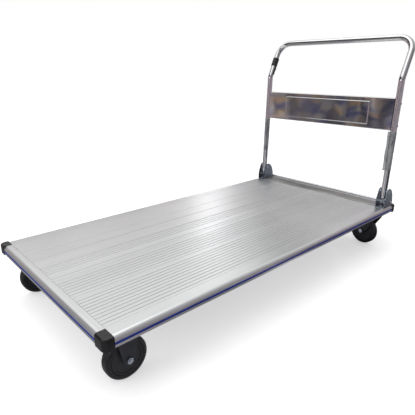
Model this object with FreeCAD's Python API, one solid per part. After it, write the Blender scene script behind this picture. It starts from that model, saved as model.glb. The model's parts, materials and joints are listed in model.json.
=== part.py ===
import FreeCAD, Part
import math
import os

# Folding platform cart, millimetres. +X runs to the handle end, +Y to the left-hand
# side, +Z up. The sub-parts are drawn about the middle of the deck with the floor at
# z = 0, then moved along X so that the origin is the bottom centre of the whole cart.

V = FreeCAD.Vector

# ---- deck
DECK_LENGTH = 1500.0          # over the corner caps
DECK_WIDTH = 750.0            # over the corner caps
DECK_DEPTH = 30.0             # depth of the planks and edge profiles
FRONT_BAND = 30.0             # front edge profile, seen from above
REAR_BAND = 30.0              # rear edge profile, seen from above
SIDE_BAND = 51.0              # side edge profiles, seen from above
NOSE_RADIUS = 14.0            # rounded outer top edge of the profiles
EDGE_INSET = 1.5              # profile face, inside the face of the corner caps
SKIN = 2.5                    # wall of the extrusions
NOSE_CORE = 6.3               # solid metal over the hollow of the rounded profiles
BUMPER_HEIGHT = 7.5
BUMPER_DEPTH = 4.0
BUMPER_PROUD = 0.8
LIP_HEIGHT = 7.0              # profile face under the bumper strip
JOINT_GAP = 0.3               # between parts that are laid edge to edge
OUTER_PLANK = 105.0
INNER_PLANK = 105.0
FINE_PLANK = 124.0
COARSE_PLANK = 176.0
GROOVE_PITCH = 15.2
GROOVE_WIDTH = 2.4
GROOVE_DEPTH = 0.9
WEB_PITCH = 32.0
INNER_RIBS = (6.0, 53.0)      # ribbed stretch of plank 3, from its left-hand side
INNER_GROOVE = 90.0
FINE_MARGINS = (27.0, 16.0)   # plain margins either side of the ribs of plank 4
COARSE_MARGINS = (25.0, 14.0)
PAST = 1.0                    # cutters run this far past the faces they open

# ---- corner caps
CAP_ALONG_FRONT = 45.0
CAP_RISE = 1.5
CAP_DROP = 3.0
CAP_CORNER_RADIUS = 16.0
CAP_EDGE_RADIUS = 6.0
SPIGOT_LENGTH = 14.0
SPIGOT_CLEARANCE = 0.3

# ---- plates under and on the deck
MEMBER_THICK = 4.0
END_MEMBER_WIDTH = 155.0
END_MEMBER_SETBACK = 5.0
MIDDLE_MEMBER_WIDTH = 90.0
MEMBER_SIDE_SETBACK = 14.0
CROSS_PLATE_WIDTH = 70.0
CROSS_PLATE_THICK = 2.0
CROSS_PLATE_GAP = 1.0         # between the plate and the brackets
RIVET_RADIUS = 2.4
RIVET_HEAD_RADIUS = 4.8
RIVET_HEAD = 1.6
RIVET_GRIP = 4.0
RIVET_FROM_EDGE = 7.2
END_RIVET_INSET = 16.0

# ---- casters
WHEEL_DIAMETER = 125.0
TYRE_WIDTH = 34.0
TYRE_THICK = 15.0
TYRE_SHOULDER = 9.0
TYRE_BEAD = 2.0
HUB_WIDTH = 38.0
HUB_BOSS_RADIUS = 15.0
HUB_WEB = 8.0
HUB_INSET = 2.0               # rim of the hub, inside the sides of the tyre
HUB_RIM = 5.0
HUB_RIBS = 6
HUB_RIB_THICK = 3.0
HUB_RIB_INSET = 3.0
FORK_GAP = 40.0
FORK_THICK = 3.0
FORK_CROWN_LENGTH = 74.0
FORK_END_RADIUS = 15.0
FORK_SHOULDER = 6.0           # straight part of the cheeks, under the crown
CASTER_PLATE_THICK = 3.0
CASTER_PLATE_LENGTH = 100.0
CASTER_PLATE_WIDTH = 84.0
CASTER_PLATE_CORNER = 8.0
CASTER_HOLES_LENGTH = 80.0
CASTER_HOLES_WIDTH = 60.0
CASTER_HEAD = 33.0            # from the top of the wheel to the top of the plate
CASTER_FROM_END = 93.0
FRONT_CASTER_FROM_SIDE = 76.0
REAR_CASTER_FROM_SIDE = 63.0
RACE_HEIGHT = 9.0
RACE_RADIUS = 26.0
RACE_GAP = 0.4
RACE_EDGE = 3.0
KINGPIN_RADIUS = 6.0
KINGPIN_HEAD_RADIUS = 10.0
KINGPIN_HEAD = 4.0
KINGPIN_SHORT = 0.5           # pin end, under the top of the caster plate
SWIVEL_TRAIL = 30.0
SWIVEL_TURN = {"right": 82.0, "left": 20.0}
AXLE_RADIUS = 5.0
AXLE_FIT = 0.08
AXLE_HEAD = 6.0
AXLE_HEAD_ACROSS = 17.0
AXLE_PROUD = 2.0              # thread past the nut

# ---- handle brackets
BRACKET_LENGTH = 76.0
BRACKET_WIDTH = 42.0
BRACKET_THICK = 3.0
BRACKET_HEIGHT = 86.0
BRACKET_FROM_SIDE = 28.0      # bracket middle, in from the side of the deck
BRACKET_FROM_END = 31.0       # bracket rear edge, in from the end of the deck
BRACKET_FRONT_HEIGHT = 36.0
BRACKET_BROW_AHEAD = 9.0      # corners of the outline, from the pivot and the top
BRACKET_BROW_DROP = 5.0
BRACKET_CREST_BEHIND = 4.0
BRACKET_HEEL = 12.0
BRACKET_BULGE = 0.72          # how far along the curved back its middle point lies
TAB_HEIGHT = 9.0
TAB_RISE = 2.0
BOLT_RADIUS = 4.0
BOLT_HOLE_CLEARANCE = 0.2
BOLT_HEAD = 5.5
BOLT_HEAD_ACROSS = 13.0
NUT_HEIGHT = 6.5
NUT_POCKET_RADIUS = 8.1
BOLT_FROM_BRACKET_FRONT = 10.0
BOLT_SPACING = 28.0
THREAD_PAST_NUT = 1.0

# ---- handle
TUBE_DIAMETER = 25.4
TUBE_WALL = 1.5
PIVOT_HEIGHT = 70.0           # above the deck
PIVOT_FROM_FRONT = 25.0       # behind the front edge of the bracket
PIVOT_PIN_RADIUS = 5.0
PIVOT_COLLAR_RADIUS = 8.0
PIVOT_COLLAR_PLAY = 0.4
PIVOT_HEAD_RADIUS = 7.0
PIVOT_HEAD = 2.0
PIN_FIT = 0.1
LEG_RUN = 482.0               # pivot to the kink
UPPER_RUN = 182.0             # kink to the grip bar
UPPER_TILT = 22.9
LEG_LEAN = 1.4
KINK_RADIUS = 50.0
GRIP_CORNER_RADIUS = 65.0
TAIL_LENGTH = 33.0
PANEL_FROM_PIVOT = 270.0
PANEL_HEIGHT = 136.0
PANEL_DEPTH = 14.0
PANEL_SHEET = 1.2
PANEL_GAP = 0.2
PANEL_EDGE_RADIUS = 4.0
EMBOSS_LENGTH = 450.0
EMBOSS_HEIGHT = 97.0
EMBOSS_RISE = 2.0
EMBOSS_SLOPE = 1.8
SCREW_RADIUS = 2.5
SCREW_HEAD_RADIUS = 4.5
SCREW_HEAD = 2.5
SCREW_INSET = 22.0
SCREW_PAST = 4.0              # thread past the flange of the panel
SCREW_CROWN = 0.6             # top of the head, as a share of its foot
SLEEVE_WALL = 0.6
SLEEVE_GAP = 0.1
SLEEVE_LENGTH = 168.0
SLEEVE_FIN = 13.0
SLEEVE_FIN_THICK = 1.4
SLEEVE_FIN_TURN = 35.0        # from straight ahead, towards the middle of the cart
SLEEVE_BELOW_PANEL = 3.0
STRAP_WIDTH = 44.0
STRAP_THICK = 2.6
STRAP_FROM_KINK = 58.0
STRAP_TAIL = 46.0
STRAP_TAIL_WIDTH = 9.0
STRAP_GAP = 0.2
KNOB_RADIUS = 4.5
KNOB_HEIGHT = 4.5
KNOB_BELOW_STRAP = 14.0

# ---- foot release
BAR_RADIUS = 6.0
BAR_FROM_FRONT = 57.0         # behind the front edge of the bracket
BAR_HEIGHT = 18.0             # above the deck, at rest
BAR_TRAVEL = 8.0
BAR_SLOT_CLEARANCE = 0.3
BAR_PROUD = 4.0               # past the outer plates of the brackets
BAR_CHAMFER = 1.0
SPRING_PIN_HEIGHT = 44.0
SPRING_PIN_RADIUS = 3.0
SPRING_PIN_HEAD_RADIUS = 4.6
SPRING_PIN_HEAD = 1.5
SPRING_RADIUS = 4.0
SPRING_WIRE = 0.8
SPRING_TURNS = 7

# ---- worked-out positions
CASTER_HEIGHT = WHEEL_DIAMETER + CASTER_HEAD
DECK_TOP = CASTER_HEIGHT + MEMBER_THICK + DECK_DEPTH
DECK_BOTTOM = DECK_TOP - DECK_DEPTH
HALF_LENGTH = DECK_LENGTH / 2
HALF_WIDTH = DECK_WIDTH / 2
WHEEL_RADIUS = WHEEL_DIAMETER / 2
BRACKET_REAR = HALF_LENGTH - BRACKET_FROM_END
BRACKET_FRONT = BRACKET_REAR - BRACKET_LENGTH
BRACKET_Y = HALF_WIDTH - BRACKET_FROM_SIDE
PIVOT_X = BRACKET_FRONT + PIVOT_FROM_FRONT
PIVOT_Z = DECK_TOP + PIVOT_HEIGHT
BAR_X = BRACKET_FRONT + BAR_FROM_FRONT
BAR_Z = DECK_TOP + BAR_HEIGHT
TUBE_RADIUS = TUBE_DIAMETER / 2
BUMPER_TOP = DECK_BOTTOM + LIP_HEIGHT + BUMPER_HEIGHT
CHAMBER_OUT = EDGE_INSET + BUMPER_DEPTH + SKIN
CHAMBER_TOP = DECK_TOP - NOSE_CORE
CHAMBER_BOTTOM = DECK_BOTTOM + SKIN
CASTER_X = HALF_LENGTH - CASTER_FROM_END
GRIP_X = PIVOT_X + LEG_RUN * math.sin(math.radians(LEG_LEAN)) \
    + UPPER_RUN * math.sin(math.radians(LEG_LEAN + UPPER_TILT))
ORIGIN_X = (GRIP_X + TUBE_RADIUS - HALF_LENGTH) / 2

SHAPES = {}


def block(x0, x1, y0, y1, z0, z1):
    return Part.makeBox(abs(x1 - x0), abs(y1 - y0), abs(z1 - z0),
                        V(min(x0, x1), min(y0, y1), min(z0, z1)))


def rod(start, axis, radius, length):
    return Part.makeCylinder(radius, length, start, axis)


def hexagon(start, axis, across, height):
    """Hexagonal prism standing on its centre point."""
    side = V(0, 0, 1) if abs(axis.z) < 0.5 else V(1, 0, 0)
    corner = side * (across / math.sqrt(3))
    turn = FreeCAD.Rotation(axis, 60)
    points = []
    for _ in range(6):
        points.append(start + corner)
        corner = turn.multVec(corner)
    points.append(points[0])
    return Part.Face(Part.makePolygon(points)).extrude(axis * height)


def slab(points, direction):
    """Closed polygon pushed along a direction."""
    return Part.Face(Part.makePolygon(points + [points[0]])).extrude(direction)


def turned(outline, centre, axis):
    """Ring turned from (radius, offset along axis) points."""
    side = V(0, 0, 1)
    points = [centre + side * r + axis * a for r, a in outline]
    face = Part.Face(Part.makePolygon(points + [points[0]]))
    return face.revolve(centre, axis, 360)


def group(solids):
    return Part.makeCompound(solids)


def joined(first, others):
    shape = first.multiFuse(others)
    return shape.removeSplitter()


# ---- deck planks: hollow aluminium extrusions laid lengthwise, ribbed on top

def plank(y_high, width, grooves):
    """One plank; grooves are the heights across it, measured from its high side."""
    x0 = -HALF_LENGTH + FRONT_BAND + JOINT_GAP
    x1 = HALF_LENGTH - REAR_BAND - JOINT_GAP
    y0 = y_high - width + JOINT_GAP / 2
    y1 = y_high - JOINT_GAP / 2
    body = block(x0, x1, y0, y1, DECK_BOTTOM, DECK_TOP)
    cells = max(2, round(width / WEB_PITCH))
    cell = (y1 - y0 - SKIN) / cells
    cuts = []
    for i in range(cells):
        low = y0 + SKIN + i * cell
        cuts.append(block(x0 - PAST, x1 + PAST, low, low + cell - SKIN,
                          DECK_BOTTOM + SKIN, DECK_TOP - SKIN - GROOVE_DEPTH))
    for g in grooves:
        middle = y_high - g
        cuts.append(block(x0 - PAST, x1 + PAST, middle - GROOVE_WIDTH / 2,
                          middle + GROOVE_WIDTH / 2, DECK_TOP - GROOVE_DEPTH, DECK_TOP + PAST))
    return body.cut(group(cuts))


def evenly(first, last):
    count = max(1, round((last - first) / GROOVE_PITCH))
    return [first + (last - first) * i / count for i in range(count + 1)]


def plank_layout():
    """Name, width and groove positions, from the left-hand side to the right."""
    inside = DECK_WIDTH - 2 * SIDE_BAND
    wide = inside - OUTER_PLANK - INNER_PLANK - FINE_PLANK - COARSE_PLANK
    return [
        ("plank_1", OUTER_PLANK, []),
        ("plank_2", wide, [wide / 2]),
        ("plank_3", INNER_PLANK, evenly(*INNER_RIBS) + [INNER_GROOVE]),
        ("plank_4", FINE_PLANK, evenly(FINE_MARGINS[0], FINE_PLANK - FINE_MARGINS[1])),
        ("plank_5", COARSE_PLANK, evenly(COARSE_MARGINS[0],
                                               COARSE_PLANK - COARSE_MARGINS[1])),
    ]


# ---- edge profiles: bullnose extrusions round the deck, with a groove for the bumper

def edge_section(band, origin, inward):
    """Closed outer wire of the profile, at the origin, facing outwards from inward."""
    def at(s, z):
        return origin + inward * s + V(0, 0, z)
    nose_mid = NOSE_RADIUS * (1 - math.sqrt(0.5))
    groove_top = BUMPER_TOP
    face = EDGE_INSET
    nose_low = DECK_TOP - NOSE_RADIUS
    edges = [
        Part.Arc(at(face, nose_low), at(face + nose_mid, DECK_TOP - nose_mid),
                 at(face + NOSE_RADIUS, DECK_TOP)).toShape(),
        Part.makeLine(at(face + NOSE_RADIUS, DECK_TOP), at(band, DECK_TOP)),
        Part.makeLine(at(band, DECK_TOP), at(band, DECK_BOTTOM)),
        Part.makeLine(at(band, DECK_BOTTOM), at(face, DECK_BOTTOM)),
        Part.makeLine(at(face, DECK_BOTTOM), at(face, groove_top - BUMPER_HEIGHT)),
        Part.makeLine(at(face, groove_top - BUMPER_HEIGHT),
                      at(face + BUMPER_DEPTH, groove_top - BUMPER_HEIGHT)),
        Part.makeLine(at(face + BUMPER_DEPTH, groove_top - BUMPER_HEIGHT),
                      at(face + BUMPER_DEPTH, groove_top)),
        Part.makeLine(at(face + BUMPER_DEPTH, groove_top), at(face, groove_top)),
    ]
    if nose_low - groove_top > 0.01:
        edges.append(Part.makeLine(at(face, groove_top), at(face, nose_low)))
    return Part.Wire(Part.__sortEdges__(edges))


def chamber_box(band, origin, inward, direction, clearance):
    """The hollow of a profile, or with a clearance the spigot that fits it."""
    s0 = CHAMBER_OUT + clearance
    s1 = band - SKIN - clearance
    z0 = CHAMBER_BOTTOM + clearance
    z1 = CHAMBER_TOP - clearance
    corners = [(s0, z0), (s1, z0), (s1, z1), (s0, z1)]
    return slab([origin + inward * s + V(0, 0, z) for s, z in corners], direction)


def edge_profile(band, origin, inward, direction):
    solid = Part.Face(edge_section(band, origin, inward)).extrude(direction)
    return solid.cut(chamber_box(band, origin, inward, direction, 0.0))


def bumper(origin, inward, direction):
    """Soft strip pressed into the groove, with a slightly crowned face."""
    def at(s, z):
        return origin + inward * s + V(0, 0, z)
    out = EDGE_INSET - BUMPER_PROUD
    low = BUMPER_TOP - BUMPER_HEIGHT
    edges = [
        Part.makeLine(at(EDGE_INSET + BUMPER_DEPTH, low), at(EDGE_INSET, low)),
        Part.Arc(at(EDGE_INSET, low), at(out, low + BUMPER_HEIGHT / 2),
                 at(EDGE_INSET, BUMPER_TOP)).toShape(),
        Part.makeLine(at(EDGE_INSET, BUMPER_TOP), at(EDGE_INSET + BUMPER_DEPTH, BUMPER_TOP)),
        Part.makeLine(at(EDGE_INSET + BUMPER_DEPTH, BUMPER_TOP),
                      at(EDGE_INSET + BUMPER_DEPTH, low)),
    ]
    return Part.Face(Part.Wire(edges)).extrude(direction)


def edge_runs():
    """Name, band, start point, inward direction and run of each side of the deck."""
    end = HALF_WIDTH - CAP_ALONG_FRONT
    x0 = -HALF_LENGTH + FRONT_BAND
    x1 = HALF_LENGTH - REAR_BAND
    return [
        ("front", FRONT_BAND, V(-HALF_LENGTH, -end, 0), V(1, 0, 0), V(0, 2 * end, 0)),
        ("rear", REAR_BAND, V(HALF_LENGTH, -end, 0), V(-1, 0, 0), V(0, 2 * end, 0)),
        ("left", SIDE_BAND, V(x0, HALF_WIDTH, 0), V(0, -1, 0), V(x1 - x0, 0, 0)),
        ("right", SIDE_BAND, V(x0, -HALF_WIDTH, 0), V(0, 1, 0), V(x1 - x0, 0, 0)),
    ]


# ---- corner caps: black mouldings plugged into the ends of two profiles

def corner_cap(end, side):
    """end is -1 at the front and +1 at the handle; side is +1 left, -1 right."""
    band = FRONT_BAND if end < 0 else REAR_BAND
    x_out = end * HALF_LENGTH
    x_in = end * (HALF_LENGTH - band + JOINT_GAP)
    y_out = side * HALF_WIDTH
    y_in = side * (HALF_WIDTH - CAP_ALONG_FRONT + JOINT_GAP)
    z0 = DECK_BOTTOM - CAP_DROP
    z1 = DECK_TOP + CAP_RISE
    body = block(x_in, x_out, y_in, y_out, z0, z1)

    def is_corner(edge):
        c = edge.CenterOfMass
        return abs(c.x - x_out) < 0.1 and abs(c.y - y_out) < 0.1
    body = body.makeFillet(CAP_CORNER_RADIUS, [e for e in body.Edges if is_corner(e)])

    def is_top_rim(edge):
        c = edge.CenterOfMass
        outside = abs(c.x - x_in) > 0.5 and abs(c.y - y_in) > 0.5
        return abs(c.z - z1) < 0.1 and outside
    body = body.makeFillet(CAP_EDGE_RADIUS, [e for e in body.Edges if is_top_rim(e)])
    toward_middle = V(0, -side, 0)
    inward = V(-end, 0, 0)
    base = V(x_out, y_in, 0) - toward_middle * 1.0
    spigot_a = chamber_box(band, base, inward, toward_middle * SPIGOT_LENGTH, SPIGOT_CLEARANCE)
    base = V(x_in, y_out, 0) - inward * 1.0
    spigot_b = chamber_box(SIDE_BAND, base, toward_middle, inward * SPIGOT_LENGTH,
                           SPIGOT_CLEARANCE)
    reach = side * (HALF_WIDTH - CAP_ALONG_FRONT + SKIN)
    spigot_b = spigot_b.common(block(-2 * HALF_LENGTH, 2 * HALF_LENGTH, reach, y_out, z0, z1))
    return joined(body, [spigot_a, spigot_b])


# ---- members: flat steel plates across the underside that tie the deck together

def member_spans():
    edge = HALF_LENGTH - END_MEMBER_SETBACK
    return [
        ("front", -edge, -edge + END_MEMBER_WIDTH),
        ("middle", -MIDDLE_MEMBER_WIDTH / 2, MIDDLE_MEMBER_WIDTH / 2),
        ("rear", edge - END_MEMBER_WIDTH, edge),
    ]


def rivet_places():
    """Under each plank: one row near the inner edge of the end members, one at the
    end profiles, and two rows on the middle member."""
    spans = dict((name, (x0, x1)) for name, x0, x1 in member_spans())
    rows = [spans["front"][1] - RIVET_FROM_EDGE, spans["middle"][0] + 2 * RIVET_FROM_EDGE,
            spans["middle"][1] - 2 * RIVET_FROM_EDGE, spans["rear"][0] + RIVET_FROM_EDGE]
    places = []
    y = HALF_WIDTH - SIDE_BAND
    for _, width, _ in plank_layout():
        for x in rows:
            places.append((x, y - width / 2))
        places.append((-HALF_LENGTH + END_RIVET_INSET, y - width / 2))
        places.append((HALF_LENGTH - END_RIVET_INSET, y - width / 2))
        y -= width
    return places


def rivet(x, y):
    """Blind rivet from below, through the member and the bottom skin."""
    z = DECK_BOTTOM - MEMBER_THICK
    head = Part.makeCone(RIVET_RADIUS, RIVET_HEAD_RADIUS, RIVET_HEAD, V(x, y, z - RIVET_HEAD))
    shank = rod(V(x, y, z), V(0, 0, 1), RIVET_RADIUS, MEMBER_THICK + SKIN + RIVET_GRIP)
    return joined(head, [shank])


# ---- casters

def caster_places():
    """Name, end (-1 front, +1 rear), side, swivel centre and turn in degrees."""
    front_y = HALF_WIDTH - FRONT_CASTER_FROM_SIDE
    rear_y = HALF_WIDTH - REAR_CASTER_FROM_SIDE
    return [
        ("front_left", False, V(-CASTER_X, front_y, 0), 0.0),
        ("front_right", False, V(-CASTER_X, -front_y, 0), 0.0),
        ("rear_left", True, V(CASTER_X, rear_y, 0), SWIVEL_TURN["left"]),
        ("rear_right", True, V(CASTER_X, -rear_y, 0), SWIVEL_TURN["right"]),
    ]


def caster_holes(centre):
    holes = []
    for sx in (-1, 1):
        for sy in (-1, 1):
            holes.append(centre + V(sx * CASTER_HOLES_LENGTH / 2, sy * CASTER_HOLES_WIDTH / 2, 0))
    return holes


def caster_plate(centre, swivel):
    """Flat top plate with four bolt holes, and the kingpin hole if it swivels."""
    z = CASTER_HEIGHT - CASTER_PLATE_THICK
    plate = block(centre.x - CASTER_PLATE_LENGTH / 2, centre.x + CASTER_PLATE_LENGTH / 2,
                  centre.y - CASTER_PLATE_WIDTH / 2, centre.y + CASTER_PLATE_WIDTH / 2,
                  z, CASTER_HEIGHT)
    upright = [e for e in plate.Edges if abs(e.BoundBox.ZLength - CASTER_PLATE_THICK) < 0.01]
    plate = plate.makeFillet(CASTER_PLATE_CORNER, upright)
    depth = CASTER_PLATE_THICK + 2 * PAST
    cuts = [rod(h + V(0, 0, z - PAST), V(0, 0, 1), BOLT_RADIUS + BOLT_HOLE_CLEARANCE, depth)
            for h in caster_holes(centre)]
    if swivel:
        cuts.append(rod(centre + V(0, 0, z - PAST), V(0, 0, 1), KINGPIN_RADIUS + PIN_FIT, depth))
    return plate.cut(group(cuts))


def fork(crown_top, trail, crown_hole):
    """Pressed fork about its own swivel axis, axle trailing along +X."""
    axle = V(trail, 0, WHEEL_RADIUS)
    half = FORK_CROWN_LENGTH / 2
    low = crown_top - FORK_SHOULDER
    inner = FORK_GAP / 2
    outer = inner + FORK_THICK
    crown = block(-half, half, -outer, outer, crown_top - FORK_THICK, crown_top)
    parts = []
    for side in (-1, 1):
        y = side * inner
        push = V(0, side * FORK_THICK, 0)
        # tangent points of the two straight flanks on the round end
        flanks = []
        for corner_x, turn in ((-half, 1), (half, -1)):
            dx = corner_x - axle.x
            dz = low - axle.z
            reach = math.hypot(dx, dz)
            angle = math.atan2(dz, dx) + turn * math.acos(FORK_END_RADIUS / reach)
            flanks.append(V(axle.x + FORK_END_RADIUS * math.cos(angle), y,
                            axle.z + FORK_END_RADIUS * math.sin(angle)))
        points = [V(-half, y, crown_top), V(half, y, crown_top), V(half, y, low),
                  flanks[1], V(axle.x, y, axle.z), flanks[0], V(-half, y, low)]
        web = slab(points, push)
        eye = rod(V(axle.x, y, axle.z), V(0, side, 0), FORK_END_RADIUS, FORK_THICK)
        parts.extend([web, eye])
    body = joined(crown, parts)
    cuts = [rod(V(axle.x, -outer - PAST, axle.z), V(0, 1, 0), AXLE_RADIUS,
                2 * (outer + PAST))]
    if crown_hole:
        cuts.append(rod(V(0, 0, crown_top - FORK_THICK - PAST), V(0, 0, 1), KINGPIN_RADIUS,
                        FORK_THICK + 2 * PAST))
    return body.cut(group(cuts))


def axle(trail):
    """Axle bolt with a hexagonal head, and its nut, as two solids."""
    outer = FORK_GAP / 2 + FORK_THICK
    z = WHEEL_RADIUS
    thread = NUT_HEIGHT + AXLE_PROUD
    shank = rod(V(trail, -outer - thread, z), V(0, 1, 0), AXLE_RADIUS, 2 * outer + thread)
    head = hexagon(V(trail, outer, z), V(0, 1, 0), AXLE_HEAD_ACROSS, AXLE_HEAD)
    bolt = joined(shank, [head])
    nut = hexagon(V(trail, -outer, z), V(0, -1, 0), AXLE_HEAD_ACROSS, NUT_HEIGHT)
    nut = nut.cut(rod(V(trail, -outer - thread, z), V(0, 1, 0), AXLE_RADIUS, thread + PAST))
    return group([bolt, nut])


def tyre(trail):
    """Solid rubber tyre with rounded shoulders, its bead broken to seat on the rim."""
    half = TYRE_WIDTH / 2
    r = WHEEL_RADIUS
    rim = r - TYRE_THICK
    ring = turned([(rim, -half), (rim, half), (r, half), (r, -half)], V(trail, 0, r), V(0, 1, 0))
    sides = [e for e in ring.Edges if abs(e.CenterOfMass.y) > half - 0.1]
    outer = [e for e in sides if e.Length > 2 * math.pi * r - 1]
    inner = [e for e in sides if e.Length < 2 * math.pi * rim + 1]
    return ring.makeFillet(TYRE_SHOULDER, outer).makeChamfer(TYRE_BEAD, inner)


def hub(trail):
    """Moulded wheel centre: rim, recessed web, bored boss and ribs."""
    rim = WHEEL_RADIUS - TYRE_THICK
    inside = rim - HUB_RIM
    half = TYRE_WIDTH / 2 - HUB_INSET
    boss = HUB_WIDTH / 2
    bore = AXLE_RADIUS + AXLE_FIT
    web = HUB_WEB / 2
    outline = [(bore, -boss), (HUB_BOSS_RADIUS, -boss), (HUB_BOSS_RADIUS, -web), (inside, -web),
               (inside, -half), (rim, -half), (rim, half), (inside, half), (inside, web),
               (HUB_BOSS_RADIUS, web), (HUB_BOSS_RADIUS, boss), (bore, boss)]
    centre = V(trail, 0, WHEEL_RADIUS)
    body = turned(outline, centre, V(0, 1, 0))
    reach = half - HUB_RIB_INSET
    ribs = []
    for i in range(HUB_RIBS):
        rib = block(HUB_BOSS_RADIUS - PAST, inside + PAST, -reach, reach,
                    -HUB_RIB_THICK / 2, HUB_RIB_THICK / 2)
        rib.rotate(V(0, 0, 0), V(0, 1, 0), 360 / HUB_RIBS * i)
        rib.translate(centre)
        ribs.append(rib)
    return joined(body, ribs)


def place_caster(shape, centre, turn):
    shape = shape.copy()
    shape.rotate(V(0, 0, 0), V(0, 0, 1), turn)
    shape.translate(V(centre.x, centre.y, 0))
    return shape


def caster_bolt(place):
    """Bolt from below with a nut inside the hollow of the deck, as two solids."""
    z = CASTER_HEIGHT - CASTER_PLATE_THICK
    grip = CASTER_PLATE_THICK + MEMBER_THICK + SKIN
    head = hexagon(place + V(0, 0, z), V(0, 0, -1), BOLT_HEAD_ACROSS, BOLT_HEAD)
    shank = rod(place + V(0, 0, z), V(0, 0, 1), BOLT_RADIUS, grip + NUT_HEIGHT + THREAD_PAST_NUT)
    nut = hexagon(place + V(0, 0, z + grip), V(0, 0, 1), BOLT_HEAD_ACROSS, NUT_HEIGHT)
    nut = nut.cut(rod(place + V(0, 0, z), V(0, 0, 1), BOLT_RADIUS, grip + NUT_HEIGHT + PAST))
    return [joined(head, [shank]), nut]


# ---- handle brackets

def bracket_outline(y):
    """Side plate: upright front edge, sloping to a rounded top, curved down at the rear."""
    top_x = PIVOT_X + BRACKET_CREST_BEHIND
    top = DECK_TOP + BRACKET_HEIGHT
    shoulder = V(BRACKET_FRONT, y, DECK_TOP + BRACKET_FRONT_HEIGHT)
    brow = V(PIVOT_X - BRACKET_BROW_AHEAD, y, top - BRACKET_BROW_DROP)
    crest = V(top_x, y, top)
    heel = V(BRACKET_REAR, y, DECK_TOP + BRACKET_HEEL)
    back_width = BRACKET_REAR - top_x
    back_height = top - heel.z
    mid = V(top_x + back_width * BRACKET_BULGE, y,
            heel.z + back_height * math.sqrt(1 - BRACKET_BULGE ** 2))
    edges = [
        Part.makeLine(V(BRACKET_REAR, y, DECK_TOP), V(BRACKET_FRONT, y, DECK_TOP)),
        Part.makeLine(V(BRACKET_FRONT, y, DECK_TOP), shoulder),
        Part.makeLine(shoulder, brow),
        Part.makeLine(brow, crest),
        Part.Arc(crest, mid, heel).toShape(),
        Part.makeLine(heel, V(BRACKET_REAR, y, DECK_TOP)),
    ]
    return Part.Face(Part.Wire(edges))


def bracket_bolt_places(side):
    y = side * BRACKET_Y
    first = V(BRACKET_FRONT + BOLT_FROM_BRACKET_FRONT, y, 0)
    return [first, first + V(BOLT_SPACING, 0, 0)]


def bracket(side):
    """U bracket of folded steel: two side plates, base and front tab."""
    y0 = side * BRACKET_Y - BRACKET_WIDTH / 2
    y1 = y0 + BRACKET_WIDTH
    near = bracket_outline(y0).extrude(V(0, BRACKET_THICK, 0))
    far = bracket_outline(y1 - BRACKET_THICK).extrude(V(0, BRACKET_THICK, 0))
    base = block(BRACKET_FRONT, BRACKET_REAR, y0, y1, DECK_TOP, DECK_TOP + BRACKET_THICK)
    tab_top = DECK_TOP + BRACKET_FRONT_HEIGHT + TAB_RISE
    tab = block(BRACKET_FRONT, BRACKET_FRONT + BRACKET_THICK, y0, y1, tab_top - TAB_HEIGHT, tab_top)
    body = joined(base, [near, far, tab])
    across = BRACKET_WIDTH + 2 * PAST
    start = y0 - PAST
    cuts = [rod(V(PIVOT_X, start, PIVOT_Z), V(0, 1, 0), PIVOT_PIN_RADIUS, across),
            rod(V(BAR_X, start, DECK_TOP + SPRING_PIN_HEIGHT), V(0, 1, 0), SPRING_PIN_RADIUS,
                across)]
    slot = BAR_RADIUS + BAR_SLOT_CLEARANCE
    for z in (BAR_Z, BAR_Z - BAR_TRAVEL):
        cuts.append(rod(V(BAR_X, start, z), V(0, 1, 0), slot, across))
    cuts.append(block(BAR_X - slot, BAR_X + slot, start, start + across, BAR_Z - BAR_TRAVEL,
                      BAR_Z))
    for p in bracket_bolt_places(side):
        cuts.append(rod(p + V(0, 0, DECK_TOP - PAST), V(0, 0, 1),
                        BOLT_RADIUS + BOLT_HOLE_CLEARANCE, BRACKET_THICK + 2 * PAST))
    return body.cut(group(cuts))


def bracket_bolt(place):
    """Bolt through the base and the top skin, with its nut in the profile's hollow."""
    z = DECK_TOP + BRACKET_THICK
    under = CHAMBER_TOP
    head = hexagon(place + V(0, 0, z), V(0, 0, 1), BOLT_HEAD_ACROSS, BOLT_HEAD)
    shank = rod(place + V(0, 0, z), V(0, 0, -1), BOLT_RADIUS,
                z - under + NUT_HEIGHT + THREAD_PAST_NUT)
    nut = hexagon(place + V(0, 0, under), V(0, 0, -1), BOLT_HEAD_ACROSS, NUT_HEIGHT)
    nut = nut.cut(rod(place + V(0, 0, under + PAST), V(0, 0, -1), BOLT_RADIUS,
                      NUT_HEIGHT + 2 * PAST))
    return [joined(head, [shank]), nut]


def pivot_pin(side):
    """Shouldered pin across the bracket; the collars keep the tube in the middle."""
    y0 = side * BRACKET_Y - BRACKET_WIDTH / 2
    y1 = y0 + BRACKET_WIDTH
    pin = rod(V(PIVOT_X, y0, PIVOT_Z), V(0, 1, 0), PIVOT_PIN_RADIUS, BRACKET_WIDTH)
    room = (BRACKET_WIDTH - 2 * BRACKET_THICK - TUBE_DIAMETER) / 2 - PIVOT_COLLAR_PLAY
    rings = []
    for y, out in ((y0, V(0, -1, 0)), (y1, V(0, 1, 0))):
        plate = V(PIVOT_X, y, PIVOT_Z)
        rings.append(rod(plate, out, PIVOT_HEAD_RADIUS, PIVOT_HEAD))
        rings.append(rod(plate - out * BRACKET_THICK, -out, PIVOT_COLLAR_RADIUS, room))
    return joined(pin, rings)


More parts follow.
